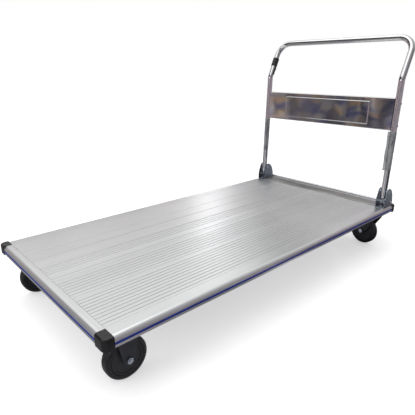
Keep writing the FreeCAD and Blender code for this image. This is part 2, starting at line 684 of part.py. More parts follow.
def spring_pin(side):
    """Cross pin that the return spring hangs from."""
    y0 = side * BRACKET_Y - BRACKET_WIDTH / 2
    z = DECK_TOP + SPRING_PIN_HEIGHT
    pin = rod(V(BAR_X, y0, z), V(0, 1, 0), SPRING_PIN_RADIUS, BRACKET_WIDTH)
    heads = [rod(V(BAR_X, y0, z), V(0, -1, 0), SPRING_PIN_HEAD_RADIUS, SPRING_PIN_HEAD),
             rod(V(BAR_X, y0 + BRACKET_WIDTH, z), V(0, 1, 0), SPRING_PIN_HEAD_RADIUS,
                 SPRING_PIN_HEAD)]
    return joined(pin, heads)


def return_spring(side):
    """Tension spring from the cross pin down to the release bar, as a coil."""
    low = BAR_Z + BAR_RADIUS
    high = DECK_TOP + SPRING_PIN_HEIGHT - SPRING_PIN_RADIUS
    run = high - low - 2 * SPRING_WIRE
    helix = Part.makeHelix(run / SPRING_TURNS, run, SPRING_RADIUS - SPRING_WIRE)
    ring = Part.Wire(Part.makeCircle(SPRING_WIRE, V(SPRING_RADIUS - SPRING_WIRE, 0, 0), V(0, 1, 0)))
    coil = Part.Wire(helix).makePipeShell([ring], True, True)
    y = side * BRACKET_Y
    coil.translate(V(BAR_X, y, low + SPRING_WIRE))
    return coil


def release_bar():
    length = 2 * (BRACKET_Y + BRACKET_WIDTH / 2 + BAR_PROUD)
    bar = rod(V(BAR_X, -length / 2, BAR_Z), V(0, 1, 0), BAR_RADIUS, length)
    rims = [e for e in bar.Edges if e.Length < 2 * math.pi * BAR_RADIUS + 1
            and abs(abs(e.CenterOfMass.y) - length / 2) < 0.1]
    return bar.makeChamfer(BAR_CHAMFER, rims)


# ---- handle, drawn with upright legs and then leaned about the pivot

def rounded_path(points, radii):
    """Straight runs joined by tangent arcs at the inner points."""
    edges = []
    start = points[0]
    for i in range(1, len(points) - 1):
        before = (points[i - 1] - points[i]).normalize()
        after = (points[i + 1] - points[i]).normalize()
        half = before.getAngle(after) / 2
        cut = radii[i - 1] / math.tan(half)
        bisector = (before + after).normalize()
        centre = points[i] + bisector * (radii[i - 1] / math.sin(half))
        first = points[i] + before * cut
        last = points[i] + after * cut
        middle = centre - bisector * radii[i - 1]
        edges.append(Part.makeLine(start, first))
        edges.append(Part.Arc(first, middle, last).toShape())
        start = last
    edges.append(Part.makeLine(start, points[-1]))
    return Part.Wire(edges)


def handle_points():
    tilt = math.radians(UPPER_TILT)
    bend = V(PIVOT_X, 0, PIVOT_Z + LEG_RUN)
    grip = bend + V(UPPER_RUN * math.sin(tilt), 0, UPPER_RUN * math.cos(tilt))
    tail = V(PIVOT_X, 0, PIVOT_Z - TAIL_LENGTH)
    y = V(0, BRACKET_Y, 0)
    return [tail + y, bend + y, grip + y, grip - y, bend - y, tail - y]


def leaned(shape):
    shape = shape.copy()
    shape.rotate(V(PIVOT_X, 0, PIVOT_Z), V(0, 1, 0), LEG_LEAN)
    return shape


def handle_tube():
    """One bent tube: two legs, two kinks, two corners and the grip bar."""
    points = handle_points()
    path = rounded_path(points, [KINK_RADIUS, GRIP_CORNER_RADIUS, GRIP_CORNER_RADIUS, KINK_RADIUS])
    solids = []
    for radius in (TUBE_RADIUS, TUBE_RADIUS - TUBE_WALL):
        ring = Part.Wire(Part.makeCircle(radius, points[0], V(0, 0, 1)))
        solids.append(path.makePipeShell([ring], True, False))
    tube = solids[0].cut(solids[1])
    holes = [rod(V(PIVOT_X, side * BRACKET_Y - TUBE_DIAMETER, PIVOT_Z), V(0, 1, 0),
                 PIVOT_PIN_RADIUS + PIN_FIT, 2 * TUBE_DIAMETER) for side in (-1, 1)]
    for z in screw_heights():
        for side in (-1, 1):
            holes.append(rod(V(PIVOT_X, side * BRACKET_Y - TUBE_DIAMETER, z), V(0, 1, 0),
                             SCREW_RADIUS, 2 * TUBE_DIAMETER))
    return tube.cut(group(holes))


def screw_heights():
    low = PIVOT_Z + PANEL_FROM_PIVOT
    return (low + SCREW_INSET, low + PANEL_HEIGHT - SCREW_INSET)


def handle_panel():
    """Pressed sheet tray between the legs, open at the back, with a raised rectangle."""
    half = BRACKET_Y - TUBE_RADIUS - PANEL_GAP
    x0 = PIVOT_X - PANEL_DEPTH / 2
    x1 = PIVOT_X + PANEL_DEPTH / 2
    z0 = PIVOT_Z + PANEL_FROM_PIVOT
    z1 = z0 + PANEL_HEIGHT
    tray = block(x0, x1, -half, half, z0, z1)
    long_rims = [e for e in tray.Edges if abs(e.CenterOfMass.x - x0) < 0.1
                 and e.Length > half]
    tray = tray.makeFillet(PANEL_EDGE_RADIUS, long_rims)
    hollow = block(x0 + PANEL_SHEET, x1 + PAST, -half + PANEL_SHEET, half - PANEL_SHEET,
                   z0 + PANEL_SHEET, z1 - PANEL_SHEET)
    back_rims = [e for e in hollow.Edges if abs(e.CenterOfMass.x - x0 - PANEL_SHEET) < 0.1
                 and e.Length > half]
    hollow = hollow.makeFillet(PANEL_EDGE_RADIUS - PANEL_SHEET, back_rims)
    middle = (z0 + z1) / 2
    raised = block(x0 - EMBOSS_RISE, x0 + PAST, -EMBOSS_LENGTH / 2, EMBOSS_LENGTH / 2,
                   middle - EMBOSS_HEIGHT / 2, middle + EMBOSS_HEIGHT / 2)
    front_rims = [e for e in raised.Edges if abs(e.CenterOfMass.x - x0 + EMBOSS_RISE) < 0.1]
    raised = raised.makeChamfer(EMBOSS_SLOPE, front_rims)
    inside = PANEL_SHEET
    dent = block(x0 - EMBOSS_RISE + inside, x0 + PANEL_SHEET + PAST,
                 -EMBOSS_LENGTH / 2 + 2 * inside, EMBOSS_LENGTH / 2 - 2 * inside,
                 middle - EMBOSS_HEIGHT / 2 + 2 * inside, middle + EMBOSS_HEIGHT / 2 - 2 * inside)
    body = joined(tray, [raised]).cut(hollow).cut(dent)
    holes = []
    for z in screw_heights():
        holes.append(rod(V(PIVOT_X, -half - PAST, z), V(0, 1, 0), SCREW_RADIUS,
                         2 * (half + PAST)))
    return body.cut(group(holes))


def panel_screw(side, z):
    """Screw through the leg into the side flange of the panel."""
    y = side * (BRACKET_Y + TUBE_RADIUS)
    run = TUBE_DIAMETER + PANEL_GAP + PANEL_SHEET + SCREW_PAST
    inwards = V(0, -side, 0)
    shank = rod(V(PIVOT_X, y, z), inwards, SCREW_RADIUS, run)
    head = Part.makeCone(SCREW_HEAD_RADIUS, SCREW_HEAD_RADIUS * SCREW_CROWN, SCREW_HEAD,
                         V(PIVOT_X, y, z), V(0, side, 0))
    return joined(shank, [head])


def leg_sleeve(side):
    """Thin film sleeve on the leg under the panel, with a flat welded fin in front."""
    top = PIVOT_Z + PANEL_FROM_PIVOT - SLEEVE_BELOW_PANEL
    low = top - SLEEVE_LENGTH
    y = side * BRACKET_Y
    inner = TUBE_RADIUS + SLEEVE_GAP
    outer = inner + SLEEVE_WALL
    ring = rod(V(PIVOT_X, y, low), V(0, 0, 1), outer, SLEEVE_LENGTH)
    fin = block(-outer - SLEEVE_FIN, -inner - SLEEVE_GAP, -SLEEVE_FIN_THICK / 2, SLEEVE_FIN_THICK / 2,
                0, SLEEVE_LENGTH)
    fin.rotate(V(0, 0, 0), V(0, 0, 1), side * SLEEVE_FIN_TURN)
    fin.translate(V(PIVOT_X, y, low))
    bore = rod(V(PIVOT_X, y, low - PAST), V(0, 0, 1), inner, SLEEVE_LENGTH + 2 * PAST)
    return joined(ring, [fin]).cut(bore)


def tube_strap():
    """Wrapped strap on the upper left leg, with its tail hanging down the tube."""
    inner = TUBE_RADIUS + STRAP_GAP
    outer = inner + STRAP_THICK
    ring = rod(V(0, 0, STRAP_FROM_KINK), V(0, 0, 1), outer, STRAP_WIDTH)
    tail = block(-STRAP_TAIL_WIDTH / 2, STRAP_TAIL_WIDTH / 2, -outer, -inner - STRAP_GAP,
                 STRAP_FROM_KINK - STRAP_TAIL, STRAP_FROM_KINK + STRAP_TAIL_WIDTH / 2)
    knob = rod(V(0, -outer + STRAP_THICK / 4, STRAP_FROM_KINK - KNOB_BELOW_STRAP), V(0, -1, 0),
               KNOB_RADIUS, KNOB_HEIGHT)
    bore = rod(V(0, 0, STRAP_FROM_KINK - PAST), V(0, 0, 1), inner, STRAP_WIDTH + 2 * PAST)
    strap = joined(ring, [tail, knob]).cut(bore)
    strap.rotate(V(0, 0, 0), V(0, 1, 0), UPPER_TILT)
    strap.translate(V(PIVOT_X, BRACKET_Y, PIVOT_Z + LEG_RUN))
    return strap


# ---- build and write every sub-part

def add(name, shape):
    SHAPES[name] = shape


def build_deck():
    holes = []
    nuts = []
    under_plate = V(0, 0, DECK_BOTTOM - MEMBER_THICK - PAST)
    through = MEMBER_THICK + SKIN + 2 * PAST
    for _, _, centre, _ in caster_places():
        for p in caster_holes(centre):
            holes.append(rod(p + under_plate, V(0, 0, 1), BOLT_RADIUS + BOLT_HOLE_CLEARANCE,
                             through))
            nuts.append(rod(p + V(0, 0, DECK_BOTTOM + SKIN), V(0, 0, 1), NUT_POCKET_RADIUS,
                            NUT_HEIGHT + 2 * PAST))
    for x, y in rivet_places():
        holes.append(rod(V(x, y, 0) + under_plate, V(0, 0, 1), RIVET_RADIUS, through))
        nuts.append(rod(V(x, y, DECK_BOTTOM + SKIN), V(0, 0, 1), RIVET_RADIUS + PAST,
                        RIVET_GRIP + PAST))
    for side in (-1, 1):
        for p in bracket_bolt_places(side):
            holes.append(rod(p + V(0, 0, CHAMBER_TOP - PAST), V(0, 0, 1),
                             BOLT_RADIUS + BOLT_HOLE_CLEARANCE, NOSE_CORE + 2 * PAST))
    under = group(holes)
    pockets = group(nuts)
    y = HALF_WIDTH - SIDE_BAND
    for name, width, grooves in plank_layout():
        add(name, plank(y, width, grooves).cut(under).cut(pockets))
        y -= width
    for name, band, start, inward, run in edge_runs():
        add(name + "_edge_profile", edge_profile(band, start, inward, run).cut(under).cut(pockets))
        add(name + "_bumper_strip", bumper(start, inward, run))
    for end, end_name in ((-1, "front"), (1, "rear")):
        for side, side_name in ((1, "left"), (-1, "right")):
            add("corner_cap_" + end_name + "_" + side_name, corner_cap(end, side))
    y = HALF_WIDTH - MEMBER_SIDE_SETBACK
    for name, x0, x1 in member_spans():
        plate = block(x0, x1, -y, y, DECK_BOTTOM - MEMBER_THICK, DECK_BOTTOM)
        caps = [SHAPES[n] for n in SHAPES if n.startswith("corner_cap")]
        add("cross_member_" + name, plate.cut(under).cut(group(caps)))
    x1 = HALF_LENGTH - REAR_BAND
    y = BRACKET_Y - BRACKET_WIDTH / 2 - CROSS_PLATE_GAP
    add("rear_cross_plate", block(x1 - CROSS_PLATE_WIDTH, x1, -y, y,
                                  DECK_TOP, DECK_TOP + CROSS_PLATE_THICK))
    add("deck_rivets", group([rivet(x, y) for x, y in rivet_places()]))


def build_casters():
    bolts = []
    crown = CASTER_HEIGHT - CASTER_PLATE_THICK
    for name, swivel, centre, turn in caster_places():
        trail = SWIVEL_TRAIL if swivel else 0.0
        top = crown - RACE_HEIGHT if swivel else crown
        add("caster_plate_" + name, caster_plate(centre, swivel))
        add("caster_fork_" + name, place_caster(fork(top, trail, swivel), centre, turn))
        add("caster_axle_" + name, place_caster(axle(trail), centre, turn))
        add("wheel_hub_" + name, place_caster(hub(trail), centre, turn))
        add("wheel_tyre_" + name, place_caster(tyre(trail), centre, turn))
        for p in caster_holes(centre):
            bolts.extend(caster_bolt(p))
        if swivel:
            ring = rod(centre + V(0, 0, top), V(0, 0, 1), RACE_RADIUS, RACE_HEIGHT - RACE_GAP)
            rims = [e for e in ring.Edges if e.Length > 2 * math.pi * RACE_RADIUS - 1]
            ring = ring.makeFillet(RACE_EDGE, rims)
            bore = rod(centre + V(0, 0, top - PAST), V(0, 0, 1), KINGPIN_RADIUS,
                       RACE_HEIGHT + 2 * PAST)
            add("swivel_race_" + name, ring.cut(bore))
            pin = rod(centre + V(0, 0, top - FORK_THICK), V(0, 0, 1), KINGPIN_RADIUS,
                      FORK_THICK + RACE_HEIGHT + CASTER_PLATE_THICK - KINGPIN_SHORT)
            head = rod(centre + V(0, 0, top - FORK_THICK), V(0, 0, -1), KINGPIN_HEAD_RADIUS,
                       KINGPIN_HEAD)
            add("kingpin_" + name, joined(pin, [head]))
    add("caster_bolts", group(bolts))


def build_handle():
    bolts = []
    for side, name in ((1, "left"), (-1, "right")):
        add("bracket_" + name, bracket(side))
        add("leg_sleeve_" + name, leaned(leg_sleeve(side)))
        for p in bracket_bolt_places(side):
            bolts.extend(bracket_bolt(p))
    add("bracket_bolts", group(bolts))
    add("pivot_pins", group([pivot_pin(1), pivot_pin(-1)]))
    add("spring_pins", group([spring_pin(1), spring_pin(-1)]))
    add("return_springs", group([return_spring(1), return_spring(-1)]))
    add("release_bar", release_bar())
    add("handle_tube", leaned(handle_tube()))
    add("handle_panel", leaned(handle_panel()))
    screws = [panel_screw(side, z) for side in (-1, 1) for z in screw_heights()]
    add("panel_screws", leaned(group(screws)))
    add("tube_strap", leaned(tube_strap()))


build_deck()
build_casters()
build_handle()
os.makedirs("parts", exist_ok=True)
for name in sorted(SHAPES):
    shape = SHAPES[name]
    shape.translate(V(-ORIGIN_X, 0, 0))
    shape.exportStep("parts/" + name + ".step")
    solids = len(shape.Solids)
    print(name, "solids", solids, "valid", shape.isValid(), "volume", round(shape.Volume))
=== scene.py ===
# Folding platform cart: a ribbed aluminium deck on four casters, with a fold-down chrome handle.
# Metres, +X towards the handle, +Y to the left-hand side, the floor at z = 0.
import bpy
import bmesh
import json
import math
from mathutils import Matrix, Vector


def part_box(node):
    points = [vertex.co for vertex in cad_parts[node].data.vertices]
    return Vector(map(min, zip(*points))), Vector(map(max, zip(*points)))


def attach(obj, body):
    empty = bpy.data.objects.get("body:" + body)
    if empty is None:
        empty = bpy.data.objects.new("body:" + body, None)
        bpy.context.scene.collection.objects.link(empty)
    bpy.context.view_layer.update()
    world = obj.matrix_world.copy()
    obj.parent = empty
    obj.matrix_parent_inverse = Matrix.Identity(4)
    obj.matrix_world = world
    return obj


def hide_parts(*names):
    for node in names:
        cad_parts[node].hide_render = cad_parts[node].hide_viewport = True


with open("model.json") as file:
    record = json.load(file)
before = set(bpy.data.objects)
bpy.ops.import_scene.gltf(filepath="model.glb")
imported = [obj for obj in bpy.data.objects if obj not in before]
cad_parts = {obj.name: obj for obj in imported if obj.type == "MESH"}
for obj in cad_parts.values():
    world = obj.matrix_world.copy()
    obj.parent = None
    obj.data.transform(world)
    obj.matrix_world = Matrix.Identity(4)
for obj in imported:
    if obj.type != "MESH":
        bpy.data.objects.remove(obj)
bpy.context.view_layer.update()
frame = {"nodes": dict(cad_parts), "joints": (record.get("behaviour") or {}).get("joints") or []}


# Deck planks: five hollow aluminium extrusions laid lengthwise, mill finish, drawn through a die
# and so streaked along their length. Two are plain, the others carry shallow rounded grooves.
GROOVE_PITCH = 0.0152
GROOVE_WIDTH = 0.0026
GROOVE_DEPTH = 0.0009
PLANK_EDGE = 0.0013


def box_of(node):
    """The two far corners of a CAD node's box."""
    low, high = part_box(node)
    return Vector(low), Vector(high)


def bend(before, corner, after, radius, steps):
    """Points along the arc that touches both straight runs at a corner."""
    back = (before - corner).normalized()
    ahead = (after - corner).normalized()
    half = back.angle(ahead) / 2
    centre = corner + (back + ahead).normalized() * (radius / math.sin(half))
    first = corner + back * (radius / math.tan(half)) - centre
    last = corner + ahead * (radius / math.tan(half)) - centre
    sweep = first.angle(last)
    arc = []
    for k in range(steps + 1):
        t = k / steps
        arc.append(centre + (first * math.sin((1 - t) * sweep) + last * math.sin(t * sweep))
                   / math.sin(sweep))
    return arc


def rounded(points, radii, steps=4):
    """Corners of a flat outline turned into arcs; a radius of 0 leaves the corner sharp."""
    corners = [Vector(p) for p in points]
    ring = []
    for i, (corner, radius) in enumerate(zip(corners, radii)):
        if radius > 0:
            ring += bend(corners[i - 1], corner, corners[(i + 1) % len(corners)], radius, steps)
        else:
            ring.append(corner)
    return ring


def piece_from(name, bm, crease=32):
    """A mesh object from bmesh data, smooth except where it turns by more than the crease."""
    bmesh.ops.recalc_face_normals(bm, faces=bm.faces)
    mesh = bpy.data.meshes.new(name)
    bm.to_mesh(mesh)
    bm.free()
    mesh.shade_smooth()
    mesh.set_sharp_from_angle(angle=math.radians(crease))
    piece = bpy.data.objects.new(name, mesh)
    bpy.context.collection.objects.link(piece)
    flats = piece.modifiers.new("flat faces stay flat", "WEIGHTED_NORMAL")
    flats.keep_sharp = True
    flats.weight = 90
    return piece


def skinned(bm, rows, closed=True):
    """Faces between each row of points and the next; a closed row runs back to its start."""
    for a, b in zip(rows, rows[1:]):
        count = len(a)
        for k in range(count if closed else count - 1):
            j = (k + 1) % count
            bm.faces.new((a[k], a[j], b[j], b[k]))


def extruded(bm, ring, push):
    """Closed ring of points pushed into a solid bar."""
    low = [bm.verts.new(p) for p in ring]
    high = [bm.verts.new(p + push) for p in ring]
    skinned(bm, [low, high])
    bm.faces.new(low)
    bm.faces.new(high)


def stands_for(piece, body, slot, material, *nodes):
    """The piece gets its material, moves with its body and takes the place of CAD nodes."""
    piece.data.materials.append(material)
    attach(piece, body)
    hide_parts(*nodes)
    return piece


def new_material(name, colour, metallic, roughness):
    material = bpy.data.materials.new(name)
    material.use_nodes = True
    shader = material.node_tree.nodes["Principled BSDF"]
    shader.inputs["Base Color"].default_value = (*colour, 1)
    shader.inputs["Metallic"].default_value = metallic
    shader.inputs["Roughness"].default_value = roughness
    return material, material.node_tree, shader


def grain(tree, scale, detail=3.0, stretch=(1, 1, 1)):
    """Noise over the object's own coordinates, squeezed or stretched along its axes."""
    place = tree.nodes.new("ShaderNodeTexCoord")
    mapping = tree.nodes.new("ShaderNodeMapping")
    mapping.inputs["Scale"].default_value = stretch
    noise = tree.nodes.new("ShaderNodeTexNoise")
    noise.inputs["Scale"].default_value = scale
    noise.inputs["Detail"].default_value = detail
    tree.links.new(place.outputs["Object"], mapping.inputs["Vector"])
    tree.links.new(mapping.outputs["Vector"], noise.inputs["Vector"])
    return noise.outputs["Fac"]


def own_axis(tree, axis):
    """The object's own X, Y or Z at each point."""
    place = tree.nodes.new("ShaderNodeTexCoord")
    parts = tree.nodes.new("ShaderNodeSeparateXYZ")
    tree.links.new(place.outputs["Object"], parts.inputs["Vector"])
    return parts.outputs[axis]


def spread(tree, value, low, high, first=0.3, last=0.7):
    """Noise between first and last becomes a number between low and high."""
    node = tree.nodes.new("ShaderNodeMapRange")
    node.inputs["From Min"].default_value = first
    node.inputs["From Max"].default_value = last
    node.inputs["To Min"].default_value = low
    node.inputs["To Max"].default_value = high
    tree.links.new(value, node.inputs["Value"])
    return node.outputs["Result"]


def shades(tree, value, stops):
    """Colour ramp of (place, colour) stops."""
    ramp = tree.nodes.new("ShaderNodeValToRGB")
    elements = ramp.color_ramp.elements
    elements[0].position, elements[0].color = stops[0][0], (*stops[0][1], 1)
    elements[1].position, elements[1].color = stops[-1][0], (*stops[-1][1], 1)
    for place, colour in stops[1:-1]:
        elements.new(place).color = (*colour, 1)
    tree.links.new(value, ramp.inputs["Fac"])
    return ramp.outputs["Color"]


def mixed(tree, kind, amount, first, second):
    """Two colours mixed; amount is a number or another output."""
    mix = tree.nodes.new("ShaderNodeMix")
    mix.data_type = "RGBA"
    mix.blend_type = kind
    if isinstance(amount, float):
        mix.inputs["Factor"].default_value = amount
    else:
        tree.links.new(amount, mix.inputs["Factor"])
    for socket, value in ((mix.inputs[6], first), (mix.inputs[7], second)):
        if isinstance(value, tuple):
            socket.default_value = (*value, 1)
        else:
            tree.links.new(value, socket)
    return mix.outputs[2]


def relief(tree, shader, height, depth, strength=1.0):
    node = tree.nodes.new("ShaderNodeBump")
    node.inputs["Distance"].default_value = depth
    node.inputs["Strength"].default_value = strength
    tree.links.new(height, node.inputs["Height"])
    tree.links.new(node.outputs["Normal"], shader.inputs["Normal"])


def drawn_aluminium(name, tone, across, metallic=0.86, top=None):
    """Extruded aluminium: fine streaks along the length, cloudy wear and a few pale scuffs.
    across holds the squeeze of the streaks along X, Y and Z. Below the level top, in the grooves,
    painted shade darkens the metal."""
    material, tree, shader = new_material(name, (tone, tone, tone), metallic, 0.36)
    streaks = grain(tree, 1.0, 2.0, across)
    clouds = grain(tree, 3.2, 4.0)
    scuffs = grain(tree, 26.0, 6.0, (1.0, 2.6, 1.0))
    colour = shades(tree, streaks, [(0.30, (tone * 0.93, tone * 0.94, tone * 0.945)),
                                    (0.70, (tone, tone * 1.002, tone * 1.004))])
    worn = shades(tree, clouds, [(0.35, (0.93, 0.935, 0.94)), (0.65, (1.0, 1.0, 1.0))])
    colour = mixed(tree, "MULTIPLY", 1.0, colour, worn)
    marks = spread(tree, scuffs, 0.0, 0.35, 0.60, 0.74)
    colour = mixed(tree, "MIX", marks, colour, (tone * 0.80, tone * 0.80, tone * 0.80))
    if top is not None:
        # Painted shade: everything below the top face, the grooves and the plank sides, is mixed
        # towards dark grey.
        groove_shade = spread(tree, own_axis(tree, "Z"), 0.42, 0.0, top - 0.0007, top - 0.00012)
        colour = mixed(tree, "MIX", groove_shade, colour, (0.16, 0.16, 0.16))
    tree.links.new(colour, shader.inputs["Base Color"])
    tree.links.new(spread(tree, streaks, 0.30, 0.42), shader.inputs["Roughness"])
    relief(tree, shader, streaks, 0.00003, 0.35)
    return material


def plank_ring(lo, hi, grooves):
    """Outline across a plank at its front end, with rounded grooves let into the top."""
    points = [(hi.y, lo.z), (hi.y, hi.z)]
    radii = [PLANK_EDGE, PLANK_EDGE]
    half = GROOVE_WIDTH / 2
    for g in grooves:
        middle = hi.y - g
        points += [(middle + half, hi.z), (middle + half * 0.55, hi.z - GROOVE_DEPTH),
                   (middle - half * 0.55, hi.z - GROOVE_DEPTH), (middle - half, hi.z)]
        radii += [0.0005, 0.0004, 0.0004, 0.0005]
    points += [(lo.y, hi.z), (lo.y, lo.z)]
    radii += [PLANK_EDGE, PLANK_EDGE]
    return [Vector((lo.x, p.x, p.y)) for p in rounded(points, radii, 3)]


def evenly(first, last):
    count = round((last - first) / GROOVE_PITCH)
    return [first + (last - first) * i / count for i in range(count + 1)]


PLANKS = {
    "plank_1": (0.800, lambda width: []),
    "plank_2": (0.790, lambda width: [width / 2]),
    "plank_3": (0.805, lambda width: evenly(0.006, 0.053) + [0.090]),
    "plank_4": (0.780, lambda width: evenly(0.027, width - 0.016)),
    "plank_5": (0.795, lambda width: evenly(0.025, width - 0.014)),
}
for node, (tone, layout) in PLANKS.items():
    lo, hi = box_of(node)
    bm = bmesh.new()
    extruded(bm, plank_ring(lo, hi, layout(hi.y - lo.y)), Vector((hi.x - lo.x, 0, 0)))
    metal = drawn_aluminium("drawn_aluminium_" + node, tone, (1.4, 420, 420), top=hi.z)
    stands_for(piece_from("deck_" + node, bm), "platform", "deck_aluminium", metal, node)


# Edge profiles: bullnose aluminium extrusions round the deck, screwed to the planks from inside.
# Each has a rounded top edge, a groove for the bumper strip and a narrow lip under it.
NOSE_RADIUS = 0.014
BUMPER_DEPTH = 0.004
BUMPER_HEIGHT = 0.0075
LIP_HEIGHT = 0.007
FACE_STEP = 0.0006


def profile_section(depth, height):
    """Outline of a profile: s runs inwards from its face, z up from its underside."""
    top = LIP_HEIGHT + BUMPER_HEIGHT
    points = [(depth, 0), (depth, height), (0, height), (0, top + 0.0012),
              (FACE_STEP, top + 0.0012), (FACE_STEP, top), (BUMPER_DEPTH, top),
              (BUMPER_DEPTH, LIP_HEIGHT), (FACE_STEP, LIP_HEIGHT),
              (FACE_STEP, LIP_HEIGHT - 0.0012), (0, LIP_HEIGHT - 0.0012), (0, 0)]
    radii = [0.0005, 0.0006, NOSE_RADIUS, 0.0003, 0.0003, 0.0003, 0.0002, 0.0002, 0.0003, 0.0003,
             0.0005, 0.0012]
    return rounded(points, radii, 12)


def strip_section():
    """Outline of the bumper strip, crowned, standing a little out of its groove."""
    low = LIP_HEIGHT + 0.0001
    high = LIP_HEIGHT + BUMPER_HEIGHT - 0.0001
    crown = [(0.0008 - 0.0015 * math.sin(math.pi * k / 8), low + (high - low) * k / 8)
             for k in range(1, 8)]
    return [Vector(p) for p in [(BUMPER_DEPTH, low), (0.0009, low), *crown, (0.0009, high),
                                (BUMPER_DEPTH, high)]]


def soft_strip():
    """Blue flexible PVC, a little dusty, with faint rub marks."""
    material, tree, shader = new_material("blue_pvc", (0.012, 0.045, 0.42), 0.0, 0.42)
    rub = grain(tree, 60.0, 5.0)
    colour = shades(tree, rub, [(0.35, (0.010, 0.034, 0.36)), (0.70, (0.020, 0.065, 0.50))])
    tree.links.new(colour, shader.inputs["Base Color"])
    tree.links.new(spread(tree, rub, 0.34, 0.52), shader.inputs["Roughness"])
    relief(tree, shader, grain(tree, 420.0, 2.0), 0.00005, 0.5)
    return material


blue = soft_strip()
along_x = drawn_aluminium("drawn_aluminium_sides", 0.80, (1.4, 420, 420), 0.98)
along_y = drawn_aluminium("drawn_aluminium_ends", 0.79, (420, 1.4, 420))
for side in ("front", "rear", "left", "right"):
    lo, hi = box_of(side + "_edge_profile")
    start, inward, push, depth, metal = {
        "front": (Vector((lo.x, lo.y, lo.z)), Vector((1, 0, 0)), Vector((0, hi.y - lo.y, 0)),
                  hi.x - lo.x, along_y),
        "rear": (Vector((hi.x, lo.y, lo.z)), Vector((-1, 0, 0)), Vector((0, hi.y - lo.y, 0)),
                 hi.x - lo.x, along_y),
        "left": (Vector((lo.x, hi.y, lo.z)), Vector((0, -1, 0)), Vector((hi.x - lo.x, 0, 0)),
                 hi.y - lo.y, along_x),
        "right": (Vector((lo.x, lo.y, lo.z)), Vector((0, 1, 0)), Vector((hi.x - lo.x, 0, 0)),
                  hi.y - lo.y, along_x),
    }[side]
    for part, ring, body_metal, slot in (
            ("edge_profile", profile_section(depth, hi.z - lo.z), metal, "deck_aluminium"),
            ("bumper_strip", strip_section(), blue, "blue_strip")):
        bm = bmesh.new()
        extruded(bm, [start + inward * p.x + Vector((0, 0, p.y)) for p in ring], push)
        stands_for(piece_from(side + "_" + part + "_face", bm), "platform", slot, body_metal,
                   side + "_" + part)


# Corner caps: black polypropylene mouldings plugged into the ends of two profiles and held by
# their spigots. The top is a flat facet with a broad bevel; the outer corner is well rounded.
CAP_CORNER = 0.016
CAP_BEVEL = 0.006


def moulded_black(name, colour, roughness):
    """Moulded black plastic with a fine texture, greyed where it has been rubbed."""
    material, tree, shader = new_material(name, colour, 0.0, roughness)
    rub = grain(tree, 38.0, 6.0)
    lighter = tuple(c * 1.7 + 0.001 for c in colour)
    colour_out = shades(tree, rub, [(0.45, colour), (0.80, lighter)])
    tree.links.new(colour_out, shader.inputs["Base Color"])
    tree.links.new(spread(tree, rub, roughness - 0.06, roughness + 0.10),
                   shader.inputs["Roughness"])
    relief(tree, shader, grain(tree, 900.0, 2.0), 0.00006, 0.35)
    return material


def cap_mesh(node, end, side):
    lo, hi = box_of(node)
    deck_lo, deck_hi = box_of("plank_1")
    along = abs((deck_lo.x if end < 0 else deck_hi.x) - (lo.x if end < 0 else hi.x)) - 0.0004
    profile_lo, profile_hi = box_of("front_edge_profile")
    across = abs((hi.y - profile_hi.y) if side > 0 else (profile_lo.y - lo.y)) - 0.0003
    x_out, y_out = (lo.x if end < 0 else hi.x), (lo.y if side < 0 else hi.y)
    x_in, y_in = x_out - end * along, y_out - side * across
    bm = bmesh.new()
    corners = [(x_in, y_in), (x_out, y_in), (x_out, y_out), (x_in, y_out)]
    low = [bm.verts.new((x, y, lo.z)) for x, y in corners]
    high = [bm.verts.new((x, y, hi.z)) for x, y in corners]
    skinned(bm, [low, high])
    bm.faces.new(low)
    bm.faces.new(high)
    bmesh.ops.recalc_face_normals(bm, faces=bm.faces[:])
    upright = [e for e in bm.edges if set(e.verts) == {low[2], high[2]}]
    bmesh.ops.bevel(bm, geom=upright, offset=CAP_CORNER, segments=10, affect="EDGES", profile=0.5)
    outside = [e for e in bm.edges if all(abs(v.co.z - hi.z) < 1e-5 for v in e.verts)
               and not all(abs(v.co.x - x_in) < 1e-5 for v in e.verts)
               and not all(abs(v.co.y - y_in) < 1e-5 for v in e.verts)]
    bmesh.ops.bevel(bm, geom=outside, offset=CAP_BEVEL, segments=4, affect="EDGES", profile=0.42)
    sharp = [e for e in bm.edges if e.calc_face_angle(0) > math.radians(60)]
    bmesh.ops.bevel(bm, geom=sharp, offset=0.0007, segments=2, affect="EDGES", profile=0.5)
    return bm


cap_plastic = moulded_black("black_polypropylene", (0.0045, 0.0045, 0.004), 0.24)
for end, end_name in ((-1, "front"), (1, "rear")):
    for side, side_name in ((-1, "right"), (1, "left")):
        node = "corner_cap_" + end_name + "_" + side_name
        stands_for(piece_from(node + "_moulding", cap_mesh(node, end, side), 24), "platform",
                   "black_plastic", cap_plastic, node)


# Steel under and on the deck: three galvanised flats riveted across the underside, and the
# darker cross plate on top that joins the two brackets and takes the toe of a boot.
def galvanised():
    """Zinc spangle: crystals of slightly different grey, dulled and a little stained."""
    material, tree, shader = new_material("galvanised_steel", (0.55, 0.56, 0.57), 1.0, 0.38)
    place = tree.nodes.new("ShaderNodeTexCoord")
    crystals = tree.nodes.new("ShaderNodeTexVoronoi")
    crystals.inputs["Scale"].default_value = 85.0
    tree.links.new(place.outputs["Object"], crystals.inputs["Vector"])
    colour = shades(tree, crystals.outputs["Color"], [(0.15, (0.46, 0.47, 0.48)),
                                                      (0.85, (0.62, 0.63, 0.64))])
    stain = shades(tree, grain(tree, 7.0, 5.0), [(0.35, (0.78, 0.77, 0.75)), (0.62, (1, 1, 1))])
    tree.links.new(mixed(tree, "MULTIPLY", 1.0, colour, stain), shader.inputs["Base Color"])
    tree.links.new(spread(tree, crystals.outputs["Distance"], 0.30, 0.46, 0.0, 0.8),
                   shader.inputs["Roughness"])
    return material


